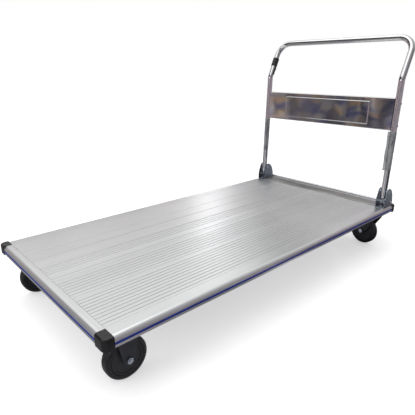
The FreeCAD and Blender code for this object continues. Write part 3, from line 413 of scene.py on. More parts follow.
def painted_plate():
    """Grey painted plate, scuffed along the deck by boots."""
    material, tree, shader = new_material("cross_plate_paint", (0.25, 0.25, 0.25), 0.6, 0.34)
    scuff = grain(tree, 9.0, 7.0, (5.0, 0.7, 1.0))
    colour = shades(tree, scuff, [(0.35, (0.30, 0.30, 0.29)), (0.55, (0.40, 0.40, 0.39)),
                                  (0.75, (0.56, 0.55, 0.53))])
    tree.links.new(colour, shader.inputs["Base Color"])
    tree.links.new(spread(tree, scuff, 0.26, 0.48), shader.inputs["Roughness"])
    relief(tree, shader, scuff, 0.0002, 0.4)
    return material


def finish_nodes(material, *nodes):
    """The CAD shape stays; every slot of its mesh gets the material."""
    for name in nodes:
        obj = frame["nodes"][name]
        if not obj.material_slots:
            obj.data.materials.append(material)
        for slot in obj.material_slots:
            slot.material = material


zinc_flats = galvanised()
finish_nodes(zinc_flats, "cross_member_front", "cross_member_middle", "cross_member_rear")
lo, hi = box_of("rear_cross_plate")
ring = rounded([(lo.x, lo.z), (lo.x, hi.z), (hi.x, hi.z), (hi.x, lo.z)],
               [0, 0.0014, 0.0014, 0], 4)
bm = bmesh.new()
extruded(bm, [Vector((p.x, lo.y, p.y)) for p in ring], Vector((0, hi.y - lo.y, 0)))
stands_for(piece_from("cross_plate_sheet", bm), "platform", "dark_steel", painted_plate(),
           "rear_cross_plate")


# Small plated hardware: rivets, bolts, nuts and pins, blue-white zinc. The rivets hold the flats,
# the bolts hold the casters and brackets, and the pins carry the handle and the springs.
def bright_zinc(name, tone, roughness):
    """Blue-white zinc plate, mottled, with a yellow tinge where the passivation is thick."""
    material, tree, shader = new_material(name, tone, 1.0, roughness)
    mottle = grain(tree, 70.0, 5.0)
    darker = tuple(c * 0.80 for c in tone)
    tinge = (tone[0] * 0.97, tone[1] * 0.96, tone[2] * 0.88)
    colour = shades(tree, mottle, [(0.32, darker), (0.55, tone), (0.78, tinge)])
    tree.links.new(colour, shader.inputs["Base Color"])
    tree.links.new(spread(tree, mottle, roughness - 0.07, roughness + 0.12),
                   shader.inputs["Roughness"])
    relief(tree, shader, grain(tree, 600.0, 2.0), 0.00004, 0.4)
    return material


hardware_zinc = bright_zinc("bright_zinc", (0.50, 0.54, 0.60), 0.24)
finish_nodes(hardware_zinc, "deck_rivets", "caster_bolts", "bracket_bolts", "pivot_pins",
             "spring_pins", "return_springs", "panel_screws",
             "caster_plate_front_left", "caster_plate_front_right", "caster_plate_rear_left",
             "caster_plate_rear_right", "kingpin_rear_left", "kingpin_rear_right",
             "caster_axle_front_left", "caster_axle_front_right", "caster_axle_rear_left",
             "caster_axle_rear_right")


# Release bar: a plated round bar across the cart, polished along its length by boots.
def rubbed_bar():
    material, tree, shader = new_material("rubbed_bar", (0.74, 0.76, 0.78), 1.0, 0.26)
    wear = grain(tree, 1.0, 2.0, (60.0, 1.5, 60.0))
    tree.links.new(shades(tree, wear, [(0.35, (0.66, 0.68, 0.70)), (0.65, (0.80, 0.82, 0.84))]),
                   shader.inputs["Base Color"])
    tree.links.new(spread(tree, wear, 0.20, 0.32), shader.inputs["Roughness"])
    return material


finish_nodes(rubbed_bar(), "release_bar")


# Casters: a folded steel fork with tapering cheeks, painted dark grey, round a moulded wheel
# centre with a rubber tyre on it. The rear forks turn on a grease-filled race.
CROWN_HALF = 0.037
FORK_SHEET = 0.003
CHEEK_OUT = 0.023
FORK_END = 0.015
FORK_SHOULDER = 0.006
FOLD_RADIUS = 0.005


def caster_frame(corner):
    """Swivel centre, trailing direction and axle centre of a caster, from its joints."""
    joints = {j["name"]: j for j in frame["joints"]}
    axle = Vector(joints["wheel_roll_" + corner]["pos_m"])
    axis = Vector(joints["wheel_roll_" + corner]["axis"]).normalized()
    trailing = Vector((axis.y, -axis.x, 0))
    plate_lo, plate_hi = box_of("caster_plate_" + corner)
    middle = (plate_lo + plate_hi) / 2
    return Vector((middle.x, middle.y, 0)), trailing, axis, axle


def cheek_span(height, trail, axle_z, top):
    """Where a cheek starts and ends along the trailing direction, at a height."""
    low = top - FORK_SHOULDER
    if height >= low:
        return -CROWN_HALF, CROWN_HALF
    ends = []
    for edge in (-1, 1):
        dx, dz = edge * CROWN_HALF - trail, low - axle_z
        angle = math.atan2(dz, dx) - edge * math.acos(FORK_END / math.hypot(dx, dz))
        touch_x = trail + FORK_END * math.cos(angle)
        touch_z = axle_z + FORK_END * math.sin(angle)
        if height > touch_z:
            t = (height - touch_z) / (low - touch_z)
            ends.append(touch_x + (edge * CROWN_HALF - touch_x) * t)
        else:
            drop = min(1.0, abs(height - axle_z) / FORK_END)
            ends.append(trail + edge * FORK_END * math.sqrt(max(0.0, 1 - drop * drop)))
    return min(ends), max(ends)


def fork_mesh(corner):
    """Strip of sheet folded over the wheel: down one cheek, over the crown, down the other."""
    centre, trailing, axis, axle = caster_frame(corner)
    crown = box_of("caster_fork_" + corner)[1].z
    trail = (Vector((axle.x, axle.y, 0)) - centre).dot(trailing)
    bottom = axle.z - FORK_END
    heights = [bottom + FORK_END * (1 - math.cos(math.pi * k / 20)) for k in range(1, 20)]
    heights += [axle.z + FORK_END + (crown - FOLD_RADIUS - axle.z - FORK_END) * k / 14
                for k in range(15)]
    path = [(CHEEK_OUT, bottom + 0.00002)] + [(CHEEK_OUT, z) for z in heights]
    path += [(CHEEK_OUT - FOLD_RADIUS * (1 - math.cos(a)), crown - FOLD_RADIUS * (1 - math.sin(a)))
             for a in (math.pi / 8, math.pi / 4, 3 * math.pi / 8, math.pi / 2)]
    path += [(-y, z) for y, z in reversed(path)]
    bm = bmesh.new()
    rows = []
    for y, z in path:
        first, last = cheek_span(z, trail, axle.z, crown)
        row = []
        for k in range(13):
            t = k / 12
            row.append(bm.verts.new(centre + trailing * (first + (last - first) * t) + axis * y
                                    + Vector((0, 0, z))))
        rows.append(row)
    skinned(bm, rows, closed=False)
    return bm


def dark_paint():
    """Dark grey stoved paint over steel: orange peel, dust, metal showing at the worn edges."""
    material, tree, shader = new_material("fork_paint", (0.045, 0.048, 0.055), 0.35, 0.40)
    dust = grain(tree, 30.0, 6.0)
    colour = shades(tree, dust, [(0.35, (0.040, 0.043, 0.050)), (0.72, (0.075, 0.080, 0.090))])
    edge = tree.nodes.new("ShaderNodeNewGeometry")
    worn = spread(tree, edge.outputs["Pointiness"], 0.0, 0.6, 0.53, 0.60)
    colour = mixed(tree, "MIX", worn, colour, (0.22, 0.23, 0.24))
    tree.links.new(colour, shader.inputs["Base Color"])
    tree.links.new(spread(tree, dust, 0.32, 0.50), shader.inputs["Roughness"])
    relief(tree, shader, grain(tree, 260.0, 3.0), 0.00008, 0.4)
    return material


fork_paint = dark_paint()
CORNERS = ("front_left", "front_right", "rear_left", "rear_right")
for corner in CORNERS:
    fork = piece_from("fork_" + corner, fork_mesh(corner), 40)
    sheet = fork.modifiers.new("sheet", "SOLIDIFY")
    sheet.thickness = FORK_SHEET
    sheet.offset = -1
    sheet.use_even_offset = True
    worked = fork.modifiers.new("worked edges", "BEVEL")
    worked.width = 0.0006
    worked.segments = 2
    worked.limit_method = "ANGLE"
    body = "platform" if "front" in corner else "swivel_" + corner
    stands_for(fork, body, "dark_steel", fork_paint, "caster_fork_" + corner)
finish_nodes(fork_paint, "swivel_race_rear_left", "swivel_race_rear_right")


# Wheels: a solid rubber tyre bonded to a ribbed nylon centre. The tyre has rounded shoulders, a
# raised bead ring on each side and faint mould lines; the centre has a recessed web and a boss.
TYRE_SEGMENTS = 96
TYRE_DEPTH = 0.015
TYRE_HALF = 0.017
BOSS_HALF = 0.019
RIM_HALF = 0.0152
WEB_HALF = 0.0095
RIB_COUNT = 6
RIB_TOP = 0.0112
RIB_START = 0.013


def turned(bm, outline, axle, axis):
    """Outline of (radius, offset) points turned about the axle into a closed ring."""
    radial = axis.orthogonal().normalized()
    rings = []
    for k in range(TYRE_SEGMENTS):
        spoke = Matrix.Rotation(2 * math.pi * k / TYRE_SEGMENTS, 3, axis) @ radial
        rings.append([bm.verts.new(axle + spoke * r + axis * a) for r, a in outline])
    skinned(bm, rings + rings[:1])


def tyre_outline(outer, inner, half):
    """Crowned tread, rounded shoulders, a small step and a bead ring beside the rim."""
    points = [(inner, -half + 0.003), (inner + 0.0015, -half + 0.0006),
              (inner + 0.004, -half + 0.0006), (inner + 0.0048, -half), (outer - 0.0005, -half),
              (outer, 0), (outer - 0.0005, half), (inner + 0.0048, half),
              (inner + 0.004, half - 0.0006), (inner + 0.0015, half - 0.0006),
              (inner, half - 0.003)]
    radii = [0, 0.0008, 0.0004, 0.0004, 0.009, 0, 0.009, 0.0004, 0.0004, 0.0008, 0]
    return [(p.x, p.y) for p in rounded(points, radii, 6)]


def hub_outline(rim, boss_half, half):
    """Section of the wheel centre: rim, sloping inside face, web, step ring and boss."""
    points = [(0.0051, -boss_half), (0.011, -boss_half), (0.014, -boss_half + 0.005),
              (0.0165, -WEB_HALF), (rim - 0.0090, -WEB_HALF), (rim - 0.0062, -half + 0.004),
              (rim - 0.0045, -half), (rim - 0.0005, -half), (rim - 0.0005, half),
              (rim - 0.0045, half), (rim - 0.0062, half - 0.004), (rim - 0.0090, WEB_HALF),
              (0.0165, WEB_HALF), (0.014, boss_half - 0.005), (0.011, boss_half),
              (0.0051, boss_half)]
    radii = [0, 0.0012, 0.001, 0.0025, 0.003, 0.001, 0.001, 0, 0, 0.001, 0.001, 0.003, 0.0025,
             0.001, 0.0012, 0]
    return [(p.x, p.y) for p in rounded(points, radii, 4)]


def add_ribs(bm, axle, axis, first, last, half):
    """Tapered ribs from the boss to the rim, on both faces of the web."""
    radial = axis.orthogonal().normalized()
    for k in range(RIB_COUNT):
        spoke = Matrix.Rotation(2 * math.pi * (k + 0.5) / RIB_COUNT, 3, axis) @ radial
        across = axis.cross(spoke)
        for face in (-1, 1):
            foot = [(-0.0030, 0.009), (0.0030, 0.009), (0.0016, half), (-0.0016, half)]
            low = [bm.verts.new(axle + spoke * first + across * a + axis * face * h)
                   for a, h in foot]
            high = [bm.verts.new(axle + spoke * last + across * a * 0.8
                                 + axis * face * min(h, half - 0.002)) for a, h in foot]
            skinned(bm, [low, high])
            bm.faces.new(low)
            bm.faces.new(high)


def tyre_rubber():
    """Dark rubber, dusty on the tread, with fine scuffs and a slight waxy bloom."""
    material, tree, shader = new_material("tyre_rubber", (0.02, 0.02, 0.022), 0.0, 0.5)
    bloom = grain(tree, 24.0, 6.0)
    colour = shades(tree, bloom, [(0.35, (0.013, 0.013, 0.015)), (0.70, (0.034, 0.034, 0.038))])
    tree.links.new(colour, shader.inputs["Base Color"])
    tree.links.new(spread(tree, bloom, 0.34, 0.56), shader.inputs["Roughness"])
    relief(tree, shader, grain(tree, 380.0, 4.0), 0.0001, 0.5)
    return material


rubber = tyre_rubber()
nylon = moulded_black("grey_nylon", (0.034, 0.036, 0.041), 0.38)
for corner in CORNERS:
    _, _, axis, axle = caster_frame(corner)
    outer = axle.z
    inner = outer - TYRE_DEPTH
    bm = bmesh.new()
    turned(bm, tyre_outline(outer, inner, TYRE_HALF), axle, axis)
    stands_for(piece_from("tyre_" + corner, bm, 40), "wheel_" + corner, "tyre_rubber", rubber,
               "wheel_tyre_" + corner)
    bm = bmesh.new()
    turned(bm, hub_outline(inner, BOSS_HALF, RIM_HALF), axle, axis)
    add_ribs(bm, axle, axis, RIB_START, inner - 0.007, RIB_TOP)
    stands_for(piece_from("wheel_centre_" + corner, bm, 40), "wheel_" + corner, "hub_plastic",
               nylon, "wheel_hub_" + corner)


# Handle brackets: two U brackets of 3 mm zinc-plated steel, bolted through the deck. The cheeks
# are slotted for the release bar; a narrow tab joins them in front of the tube.
BRACKET_SHEET = 0.003
TAB_HEIGHT = 0.009
TAB_TOP = 0.038
FRONT_HEIGHT = 0.036
HEEL_HEIGHT = 0.012
BAR_SLOT = 0.0063
BAR_TRAVEL = 0.008


def joint_point(name):
    return Vector(next(j["pos_m"] for j in frame["joints"] if j["name"] == name))


def flat_plate(name, outline, holes, thickness, edge):
    """Flat sheet cut to an outline with holes, its edges slightly broken; it lies in x and y."""
    curve = bpy.data.curves.new(name, "CURVE")
    curve.dimensions = "2D"
    curve.fill_mode = "BOTH"
    curve.extrude = thickness / 2 - edge
    curve.bevel_depth = edge
    curve.bevel_resolution = 2
    curve.offset = -edge
    for ring in [outline] + holes:
        spline = curve.splines.new("POLY")
        spline.points.add(len(ring) - 1)
        for point, p in zip(spline.points, ring):
            point.co = (p[0], p[1], 0, 1)
        spline.use_cyclic_u = True
    sketch = bpy.data.objects.new(name + "_sketch", curve)
    bpy.context.collection.objects.link(sketch)
    bpy.context.view_layer.update()
    mesh = bpy.data.meshes.new_from_object(sketch.evaluated_get(
        bpy.context.evaluated_depsgraph_get()))
    bpy.data.objects.remove(sketch)
    bpy.data.curves.remove(curve)
    mesh.transform(Matrix.Rotation(math.pi / 2, 4, "X"))
    return mesh


def circle(x, z, radius, count=32):
    return [(x + radius * math.cos(2 * math.pi * k / count),
             z + radius * math.sin(2 * math.pi * k / count)) for k in range(count)]


def slot_ring(x, low, high, radius):
    upper = [(x + radius * math.cos(math.pi * k / 12), high + radius * math.sin(math.pi * k / 12))
             for k in range(13)]
    lower = [(x - radius * math.cos(math.pi * k / 12), low - radius * math.sin(math.pi * k / 12))
             for k in range(13)]
    return upper + lower


def cheek_outline(lo, hi, pivot):
    """Upright front edge, sloping to a crowned top, curved down at the rear."""
    shoulder = lo.z + FRONT_HEIGHT
    crest = (pivot.x + 0.004, hi.z)
    heel = lo.z + HEEL_HEIGHT
    curve = []
    for k in range(1, 13):
        a = math.pi / 2 * (1 - k / 12)
        curve.append((crest[0] + (hi.x - crest[0]) * math.cos(a),
                      heel + (hi.z - heel) * math.sin(a)))
    fixed = rounded([(lo.x, lo.z), (lo.x, shoulder), (pivot.x - 0.009, hi.z - 0.005), crest],
                    [0.0, 0.004, 0.010, 0.0], 5)
    return [(p.x, p.y) for p in fixed] + curve + [(hi.x, lo.z)]


bracket_zinc = bright_zinc("bracket_zinc", (0.27, 0.31, 0.36), 0.27)
pivot = joint_point("handle_fold")
bar_lo, bar_hi = box_of("release_bar")
spring_lo, spring_hi = box_of("spring_pins")
bar_mid = (bar_lo + bar_hi) / 2
spring_mid = (spring_lo + spring_hi) / 2
for side_name in ("left", "right"):
    lo, hi = box_of("bracket_" + side_name)
    holes = [circle(pivot.x, pivot.z, 0.005), circle(bar_mid.x, spring_mid.z, 0.003, 20),
             slot_ring(bar_mid.x, bar_mid.z - BAR_TRAVEL, bar_mid.z, BAR_SLOT)]
    bm = bmesh.new()
    for y in (lo.y + BRACKET_SHEET / 2, hi.y - BRACKET_SHEET / 2):
        cheek = flat_plate("cheek", cheek_outline(lo, hi, pivot), holes, BRACKET_SHEET, 0.0004)
        cheek.transform(Matrix.Translation((0, y, 0)))
        bm.from_mesh(cheek)
        bpy.data.meshes.remove(cheek)
    base = rounded([(lo.y + 0.0005, lo.z), (hi.y - 0.0005, lo.z),
                    (hi.y - 0.0005, lo.z + BRACKET_SHEET), (lo.y + 0.0005, lo.z + BRACKET_SHEET)],
                   [0.0008] * 4, 3)
    extruded(bm, [Vector((lo.x + 0.0003, p.x, p.y)) for p in base],
             Vector((hi.x - lo.x - 0.0006, 0, 0)))
    tab_top = lo.z + TAB_TOP
    tab = rounded([(lo.y, tab_top - TAB_HEIGHT), (hi.y, tab_top - TAB_HEIGHT), (hi.y, tab_top),
                   (lo.y, tab_top)], [0.001, 0.001, 0.0025, 0.0025], 4)
    extruded(bm, [Vector((lo.x, p.x, p.y)) for p in tab], Vector((BRACKET_SHEET, 0, 0)))
    stands_for(piece_from("bracket_" + side_name + "_sheet", bm, 28), "platform", "plated_steel",
               bracket_zinc, "bracket_" + side_name)


# Handle: one length of 25 mm steel tube bent to a hoop, polished and chromed. It turns on the
# pivot pins at its foot, leans back a little and kinks further back at the grip.
TUBE_RADIUS = 0.0127
TUBE_WALL = 0.0015
LEG_RUN = 0.482
UPPER_RUN = 0.182
UPPER_TILT = math.radians(22.9)
LEG_LEAN = math.radians(1.4)
TAIL = 0.033
KINK_RADIUS = 0.050
GRIP_CORNER = 0.065


def chromed(name, colour, roughness, wave):
    """Polished chrome plate: hand smears that dull it slightly, and faint waves of the steel."""
    material, tree, shader = new_material(name, colour, 1.0, roughness)
    smear = grain(tree, 5.0, 2.0, (1.0, 1.0, 0.4))
    darker = tuple(c * 0.94 for c in colour)
    tree.links.new(shades(tree, smear, [(0.35, darker), (0.62, colour)]),
                   shader.inputs["Base Color"])
    tree.links.new(spread(tree, smear, roughness, roughness + 0.04), shader.inputs["Roughness"])
    relief(tree, shader, grain(tree, 9.0, 1.0), wave, 0.5)
    return material


def hoop_points(leg_y):
    bend = Vector((pivot.x, 0, pivot.z + LEG_RUN))
    grip = bend + Vector((math.sin(UPPER_TILT), 0, math.cos(UPPER_TILT))) * UPPER_RUN
    tail = Vector((pivot.x, 0, pivot.z - TAIL))
    y = Vector((0, leg_y, 0))
    return [tail + y, bend + y, grip + y, grip - y, bend - y, tail - y]


def bent_path(points, radii, steps=12):
    """Straight runs joined by tangent arcs."""
    path = [points[0]]
    for i in range(1, len(points) - 1):
        path += bend(points[i - 1], points[i], points[i + 1], radii[i - 1], steps)
    path.append(points[-1])
    return path


def swept(bm, path, radius, count=40):
    """Round skin along a path, carried along without twisting."""
    tangent = (path[1] - path[0]).normalized()
    side = tangent.orthogonal().normalized()
    rings = []
    for i, point in enumerate(path):
        if i + 1 < len(path):
            ahead = (path[i + 1] - point).normalized()
        back = (point - path[i - 1]).normalized() if i else ahead
        now = (back + ahead).normalized()
        side = (tangent.rotation_difference(now) @ side).normalized()
        tangent = now
        other = tangent.cross(side)
        rings.append([bm.verts.new(point + (side * math.cos(2 * math.pi * k / count)
                                            + other * math.sin(2 * math.pi * k / count)) * radius)
                      for k in range(count)])
    skinned(bm, rings)
    return rings


def lean_back(mesh):
    """Turns a mesh drawn with upright legs back by the lean of the handle."""
    turn = Matrix.Translation(pivot) @ Matrix.Rotation(LEG_LEAN, 4, "Y") \
        @ Matrix.Translation(-pivot)
    mesh.transform(turn)


leg_y = box_of("handle_tube")[1].y - TUBE_RADIUS
route = bent_path(hoop_points(leg_y), [KINK_RADIUS, GRIP_CORNER, GRIP_CORNER, KINK_RADIUS])
bm = bmesh.new()
outer_rings = swept(bm, route, TUBE_RADIUS)
inner_rings = swept(bm, route, TUBE_RADIUS - TUBE_WALL)
for end in (0, -1):
    skinned(bm, [outer_rings[end], inner_rings[end]])
tube = piece_from("handle_hoop", bm, 40)
lean_back(tube.data)
tube_chrome = chromed("tube_chrome", (0.72, 0.715, 0.73), 0.06, 0.0001)
stands_for(tube, "handle", "chrome", tube_chrome, "handle_tube")


# Handle panel: a tray pressed from 1.2 mm sheet with a raised rectangle, chromed like the tube
# and screwed between the legs through its side flanges. The thin sheet is slightly wavy.
PANEL_FROM_PIVOT = 0.270
PANEL_HEIGHT = 0.136
PANEL_DEPTH = 0.014
PANEL_SHEET = 0.0012
PANEL_GAP = 0.0002
PANEL_EDGE = 0.004
EMBOSS_LENGTH = 0.450
EMBOSS_HEIGHT = 0.097
EMBOSS_RISE = 0.0019
EMBOSS_SLOPE = 0.0045


def fine_steps(low, high, marks, reach, plain=0.012):
    """Grid lines from low to high, close together within reach of each mark."""
    lines = {low, high}
    count = round((high - low) / plain)
    lines |= {low + (high - low) * k / count for k in range(1, count)}
    for mark in marks:
        lines |= {mark + reach * k / 5 for k in range(-5, 6)}
    return sorted(v for v in lines if low <= v <= high)


def smooth_step(value):
    value = max(0.0, min(1.0, value))
    return value * value * (3 - 2 * value)


def panel_mesh():
    half = leg_y - TUBE_RADIUS - PANEL_GAP
    front, back = pivot.x - PANEL_DEPTH / 2, pivot.x + PANEL_DEPTH / 2
    z0 = pivot.z + PANEL_FROM_PIVOT
    z1 = z0 + PANEL_HEIGHT
    middle = (z0 + z1) / 2
    arc = [(PANEL_EDGE * (1 - math.cos(a)), PANEL_EDGE * (1 - math.sin(a)))
           for a in (math.pi / 2 * k / 6 for k in range(7))]
    marks = [middle - EMBOSS_HEIGHT / 2, middle + EMBOSS_HEIGHT / 2]
    section = [(back, z0), (front + PANEL_EDGE + 0.001, z0)]
    section += [(front + x, z0 + z) for x, z in reversed(arc)]
    section += [(front, z) for z in fine_steps(z0 + PANEL_EDGE, z1 - PANEL_EDGE, marks,
                                               EMBOSS_SLOPE)[1:-1]]
    section += [(front + x, z1 - z) for x, z in arc]
    section += [(front + PANEL_EDGE + 0.001, z1), (back, z1)]
    across = fine_steps(-half, half, [-EMBOSS_LENGTH / 2, EMBOSS_LENGTH / 2], EMBOSS_SLOPE)
    bm = bmesh.new()
    rows = []
    for y in across:
        row = []
        for x, z in section:
            inside = min((EMBOSS_LENGTH / 2 - abs(y)), (EMBOSS_HEIGHT / 2 - abs(z - middle)))
            on_front = x <= front + 1e-6
            rise = EMBOSS_RISE * smooth_step(inside / EMBOSS_SLOPE + 0.5) if on_front else 0
            row.append(bm.verts.new((x - rise, y, z)))
        rows.append(row)
    skinned(bm, rows, closed=False)
    for row in (rows[0], rows[-1]):
        bm.faces.new(row)
    return bm


panel = piece_from("handle_tray", panel_mesh(), 50)
lean_back(panel.data)
tray = panel.modifiers.new("sheet", "SOLIDIFY")
tray.thickness = PANEL_SHEET
tray.offset = -1
stands_for(panel, "handle", "chrome", chromed("panel_chrome", (0.64, 0.63, 0.64), 0.05, 0.0016),
           "handle_panel")


# Leg sleeves: clear film left on the legs from packing, shrunk on loosely, with a flat welded fin.
# The film is cloudy and creased, so it looks grey over the chrome.
FILM = 0.0005
SLEEVE_LENGTH = 0.168
SLEEVE_BELOW_PANEL = 0.003
SLEEVE_ROWS = 42
FIN_REACH = 0.013
FIN_TURN = math.radians(35)


def film():
    """Cloudy polythene: partly clear, rough, with creases along and across."""
    material, tree, shader = new_material("cloudy_film", (0.60, 0.61, 0.62), 0.0, 0.30)
    shader.inputs["Transmission Weight"].default_value = 0.55
    shader.inputs["IOR"].default_value = 1.25
    crease = grain(tree, 14.0, 6.0, (4.0, 4.0, 1.0))
    tree.links.new(shades(tree, crease, [(0.35, (0.42, 0.43, 0.45)), (0.68, (0.72, 0.73, 0.74))]),
                   shader.inputs["Base Color"])
    tree.links.new(spread(tree, crease, 0.18, 0.42), shader.inputs["Roughness"])
    relief(tree, shader, crease, 0.0012, 0.7)
    return material


cloudy = film()
for side, side_name in ((1, "left"), (-1, "right")):
    top = pivot.z + PANEL_FROM_PIVOT - SLEEVE_BELOW_PANEL
    low = top - SLEEVE_LENGTH
    bm = bmesh.new()
    rings = []
    for i in range(SLEEVE_ROWS + 1):
        z = low + (top - low) * i / SLEEVE_ROWS
        ring = []
        for k in range(48):
            a = 2 * math.pi * k / 48
            crinkle = 0.00022 * math.sin(5 * a + 46 * z) * math.sin(90 * z + 2 * a)
            r = TUBE_RADIUS + 0.00038 + crinkle
            ring.append(bm.verts.new((pivot.x + r * math.cos(a),
                                      side * leg_y + r * math.sin(a), z)))
        rings.append(ring)
    skinned(bm, rings)
    away = Vector((-math.cos(FIN_TURN), -side * math.sin(FIN_TURN), 0))
    beside = Vector((away.y, -away.x, 0))
    foot = Vector((pivot.x, side * leg_y, 0)) + away * (TUBE_RADIUS + 0.0002)
    fin_rows = []
    for i in range(SLEEVE_ROWS + 1):
        z = low + (top - low) * i / SLEEVE_ROWS
        reach = FIN_REACH * (1 - 0.10 * math.sin(37 * z) ** 2)
        row = []
        for k in range(7):
            t = k / 6
            wave = beside * 0.0007 * t * math.sin(75 * z)
            row.append(bm.verts.new(foot + away * reach * t + wave + Vector((0, 0, z))))
        fin_rows.append(row)
    skinned(bm, fin_rows, closed=False)
    sleeve = piece_from("film_sleeve_" + side_name, bm, 60)
    lean_back(sleeve.data)
    skin = sleeve.modifiers.new("film", "SOLIDIFY")
    skin.thickness = FILM / 2
    skin.offset = 0
    stands_for(sleeve, "handle", "clear_film", cloudy, "leg_sleeve_" + side_name)


# Tube strap: a black rubber band wound twice round the upper left leg and buttoned, with its
# tail hanging down the tube. It is there to hold the hook of a load strap.
STRAP_FROM_KINK = 0.058
STRAP_WIDTH = 0.044
STRAP_THICK = 0.0026


def strap_rubber():
    material, tree, shader = new_material("strap_rubber", (0.015, 0.015, 0.016), 0.0, 0.42)
    wear = grain(tree, 90.0, 5.0)
    tree.links.new(shades(tree, wear, [(0.4, (0.010, 0.010, 0.011)),
                                       (0.75, (0.045, 0.045, 0.047))]),
                   shader.inputs["Base Color"])
    tree.links.new(spread(tree, wear, 0.30, 0.52), shader.inputs["Roughness"])
    relief(tree, shader, grain(tree, 700.0, 3.0), 0.0001, 0.5)
    return material


bm = bmesh.new()
inner = TUBE_RADIUS + 0.0003


def strap_ring(radius, z, ripple=0.0):
    angles = [2 * math.pi * k / 48 for k in range(48)]
    return [bm.verts.new((radius * math.cos(a), radius * math.sin(a), z + ripple * math.sin(a)))
            for a in angles]


rows = [strap_ring(inner, STRAP_FROM_KINK)]
for i in range(29):
    t = i / 28
    z = STRAP_FROM_KINK + STRAP_WIDTH * t
    edge = min(t, 1 - t) * STRAP_WIDTH
    swell = STRAP_THICK * min(1.0, math.sqrt(max(edge, 0.00001) / 0.0016))
    valley = 0.0011 * math.exp(-((t - 0.36) / 0.035) ** 2) + 0.0009 * math.exp(
        -((t - 0.70) / 0.035) ** 2)
    r = inner + max(0.0003, swell - valley)
    rows.append(strap_ring(r, z, 0.0018 * math.sin(math.pi * t)))
rows.append(strap_ring(inner, STRAP_FROM_KINK + STRAP_WIDTH))
skinned(bm, rows)
tail = rounded([(-0.0045, -0.0154), (-0.0045, -0.0132), (0.0045, -0.0132), (0.0045, -0.0154)],
               [0.0008] * 4, 3)
extruded(bm, [Vector((p.x, p.y, STRAP_FROM_KINK - 0.045)) for p in tail], Vector((0, 0, 0.050)))
knob = [(0.0003, 0.0015), (0.0040, 0.0015), (0.0044, 0.0028), (0.0038, 0.0040), (0.0003, 0.0042)]
knob_rings = []
for r, out in knob:
    knob_rings.append([bm.verts.new((r * math.cos(2 * math.pi * k / 24), -0.0145 - out,
                                     STRAP_FROM_KINK - 0.014 + r * math.sin(2 * math.pi * k / 24)))
                       for k in range(24)])
skinned(bm, knob_rings)
bm.faces.new(knob_rings[-1])
band = piece_from("wound_strap", bm, 50)
band.data.transform(Matrix.Translation((pivot.x, leg_y, pivot.z + LEG_RUN))
                    @ Matrix.Rotation(UPPER_TILT, 4, "Y"))
lean_back(band.data)
stands_for(band, "handle", "black_strap", strap_rubber(), "tube_strap")


# Studio: a pale paper floor, partly lit from itself, under a broad overhead softbox. A ring of
# dim screens and a banded mat, which only reflections see, stand in for the workshop that
# polished metal mirrors.
bm = bmesh.new()
bmesh.ops.create_grid(bm, x_segments=2, y_segments=2, size=7.0)
floor = piece_from("floor", bm)
paper, paper_tree, paper_shader = new_material("floor_paper", (0.93, 0.93, 0.93), 0.0, 0.85)
paper_tree.links.new(shades(paper_tree, grain(paper_tree, 2.0, 2.0),
                            [(0.3, (0.925, 0.925, 0.925)), (0.7, (0.94, 0.94, 0.94))]),
                     paper_shader.inputs["Base Color"])
paper_shader.inputs["Specular IOR Level"].default_value = 0.1
paper_shader.inputs["Emission Color"].default_value = (1.0, 1.0, 1.0, 1)
paper_shader.inputs["Emission Strength"].default_value = 0.48
floor.data.materials.append(paper)
floor.visible_diffuse = False
floor.visible_glossy = False


def emission_only(name):
    material = bpy.data.materials.new(name)
    material.use_nodes = True
    tree = material.node_tree
    tree.nodes.remove(tree.nodes["Principled BSDF"])
    glow = tree.nodes.new("ShaderNodeEmission")
    tree.links.new(glow.outputs["Emission"], tree.nodes["Material Output"].inputs["Surface"])
    return material, tree, glow


def workshop_shelves():
    """Dim shelves with a few boxes on them, in uprights and rows, with paler gaps between."""
    material, tree, glow = emission_only("workshop_shelves")
    bays = shades(tree, grain(tree, 1.0, 3.0, (5.0, 5.0, 0.9)), [
        (0.36, (0.08, 0.08, 0.09)), (0.42, (0.30, 0.29, 0.27)), (0.46, (0.07, 0.07, 0.08)),
        (0.50, (0.44, 0.39, 0.33)), (0.53, (0.09, 0.10, 0.15)), (0.57, (0.64, 0.63, 0.64)),
        (0.60, (0.12, 0.12, 0.14)), (0.68, (0.78, 0.75, 0.76))])
    boxes = shades(tree, grain(tree, 1.0, 3.0, (7.0, 7.0, 16.0)), [
        (0.40, (0.35, 0.38, 0.75)), (0.46, (0.85, 0.85, 0.9)), (0.52, (1.0, 1.0, 1.0)),
        (0.58, (1.25, 1.05, 0.85)), (0.64, (1.4, 0.95, 0.60))])
    window = shades(tree, spread(tree, own_axis(tree, "Y"), 0.0, 1.0, 0.3, 2.3),
                    [(0.0, (1.5, 1.45, 1.55)), (0.28, (1.5, 1.45, 1.6)), (0.42, (0.9, 0.9, 0.95)),
                     (0.75, (0.9, 0.9, 0.95)), (0.88, (1.5, 1.45, 1.45)), (1.0, (1.5, 1.45, 1.45))])
    pattern = mixed(tree, "MULTIPLY", 1.0, bays, boxes)
    tree.links.new(mixed(tree, "MULTIPLY", 1.0, pattern, window), glow.inputs["Color"])
    return material


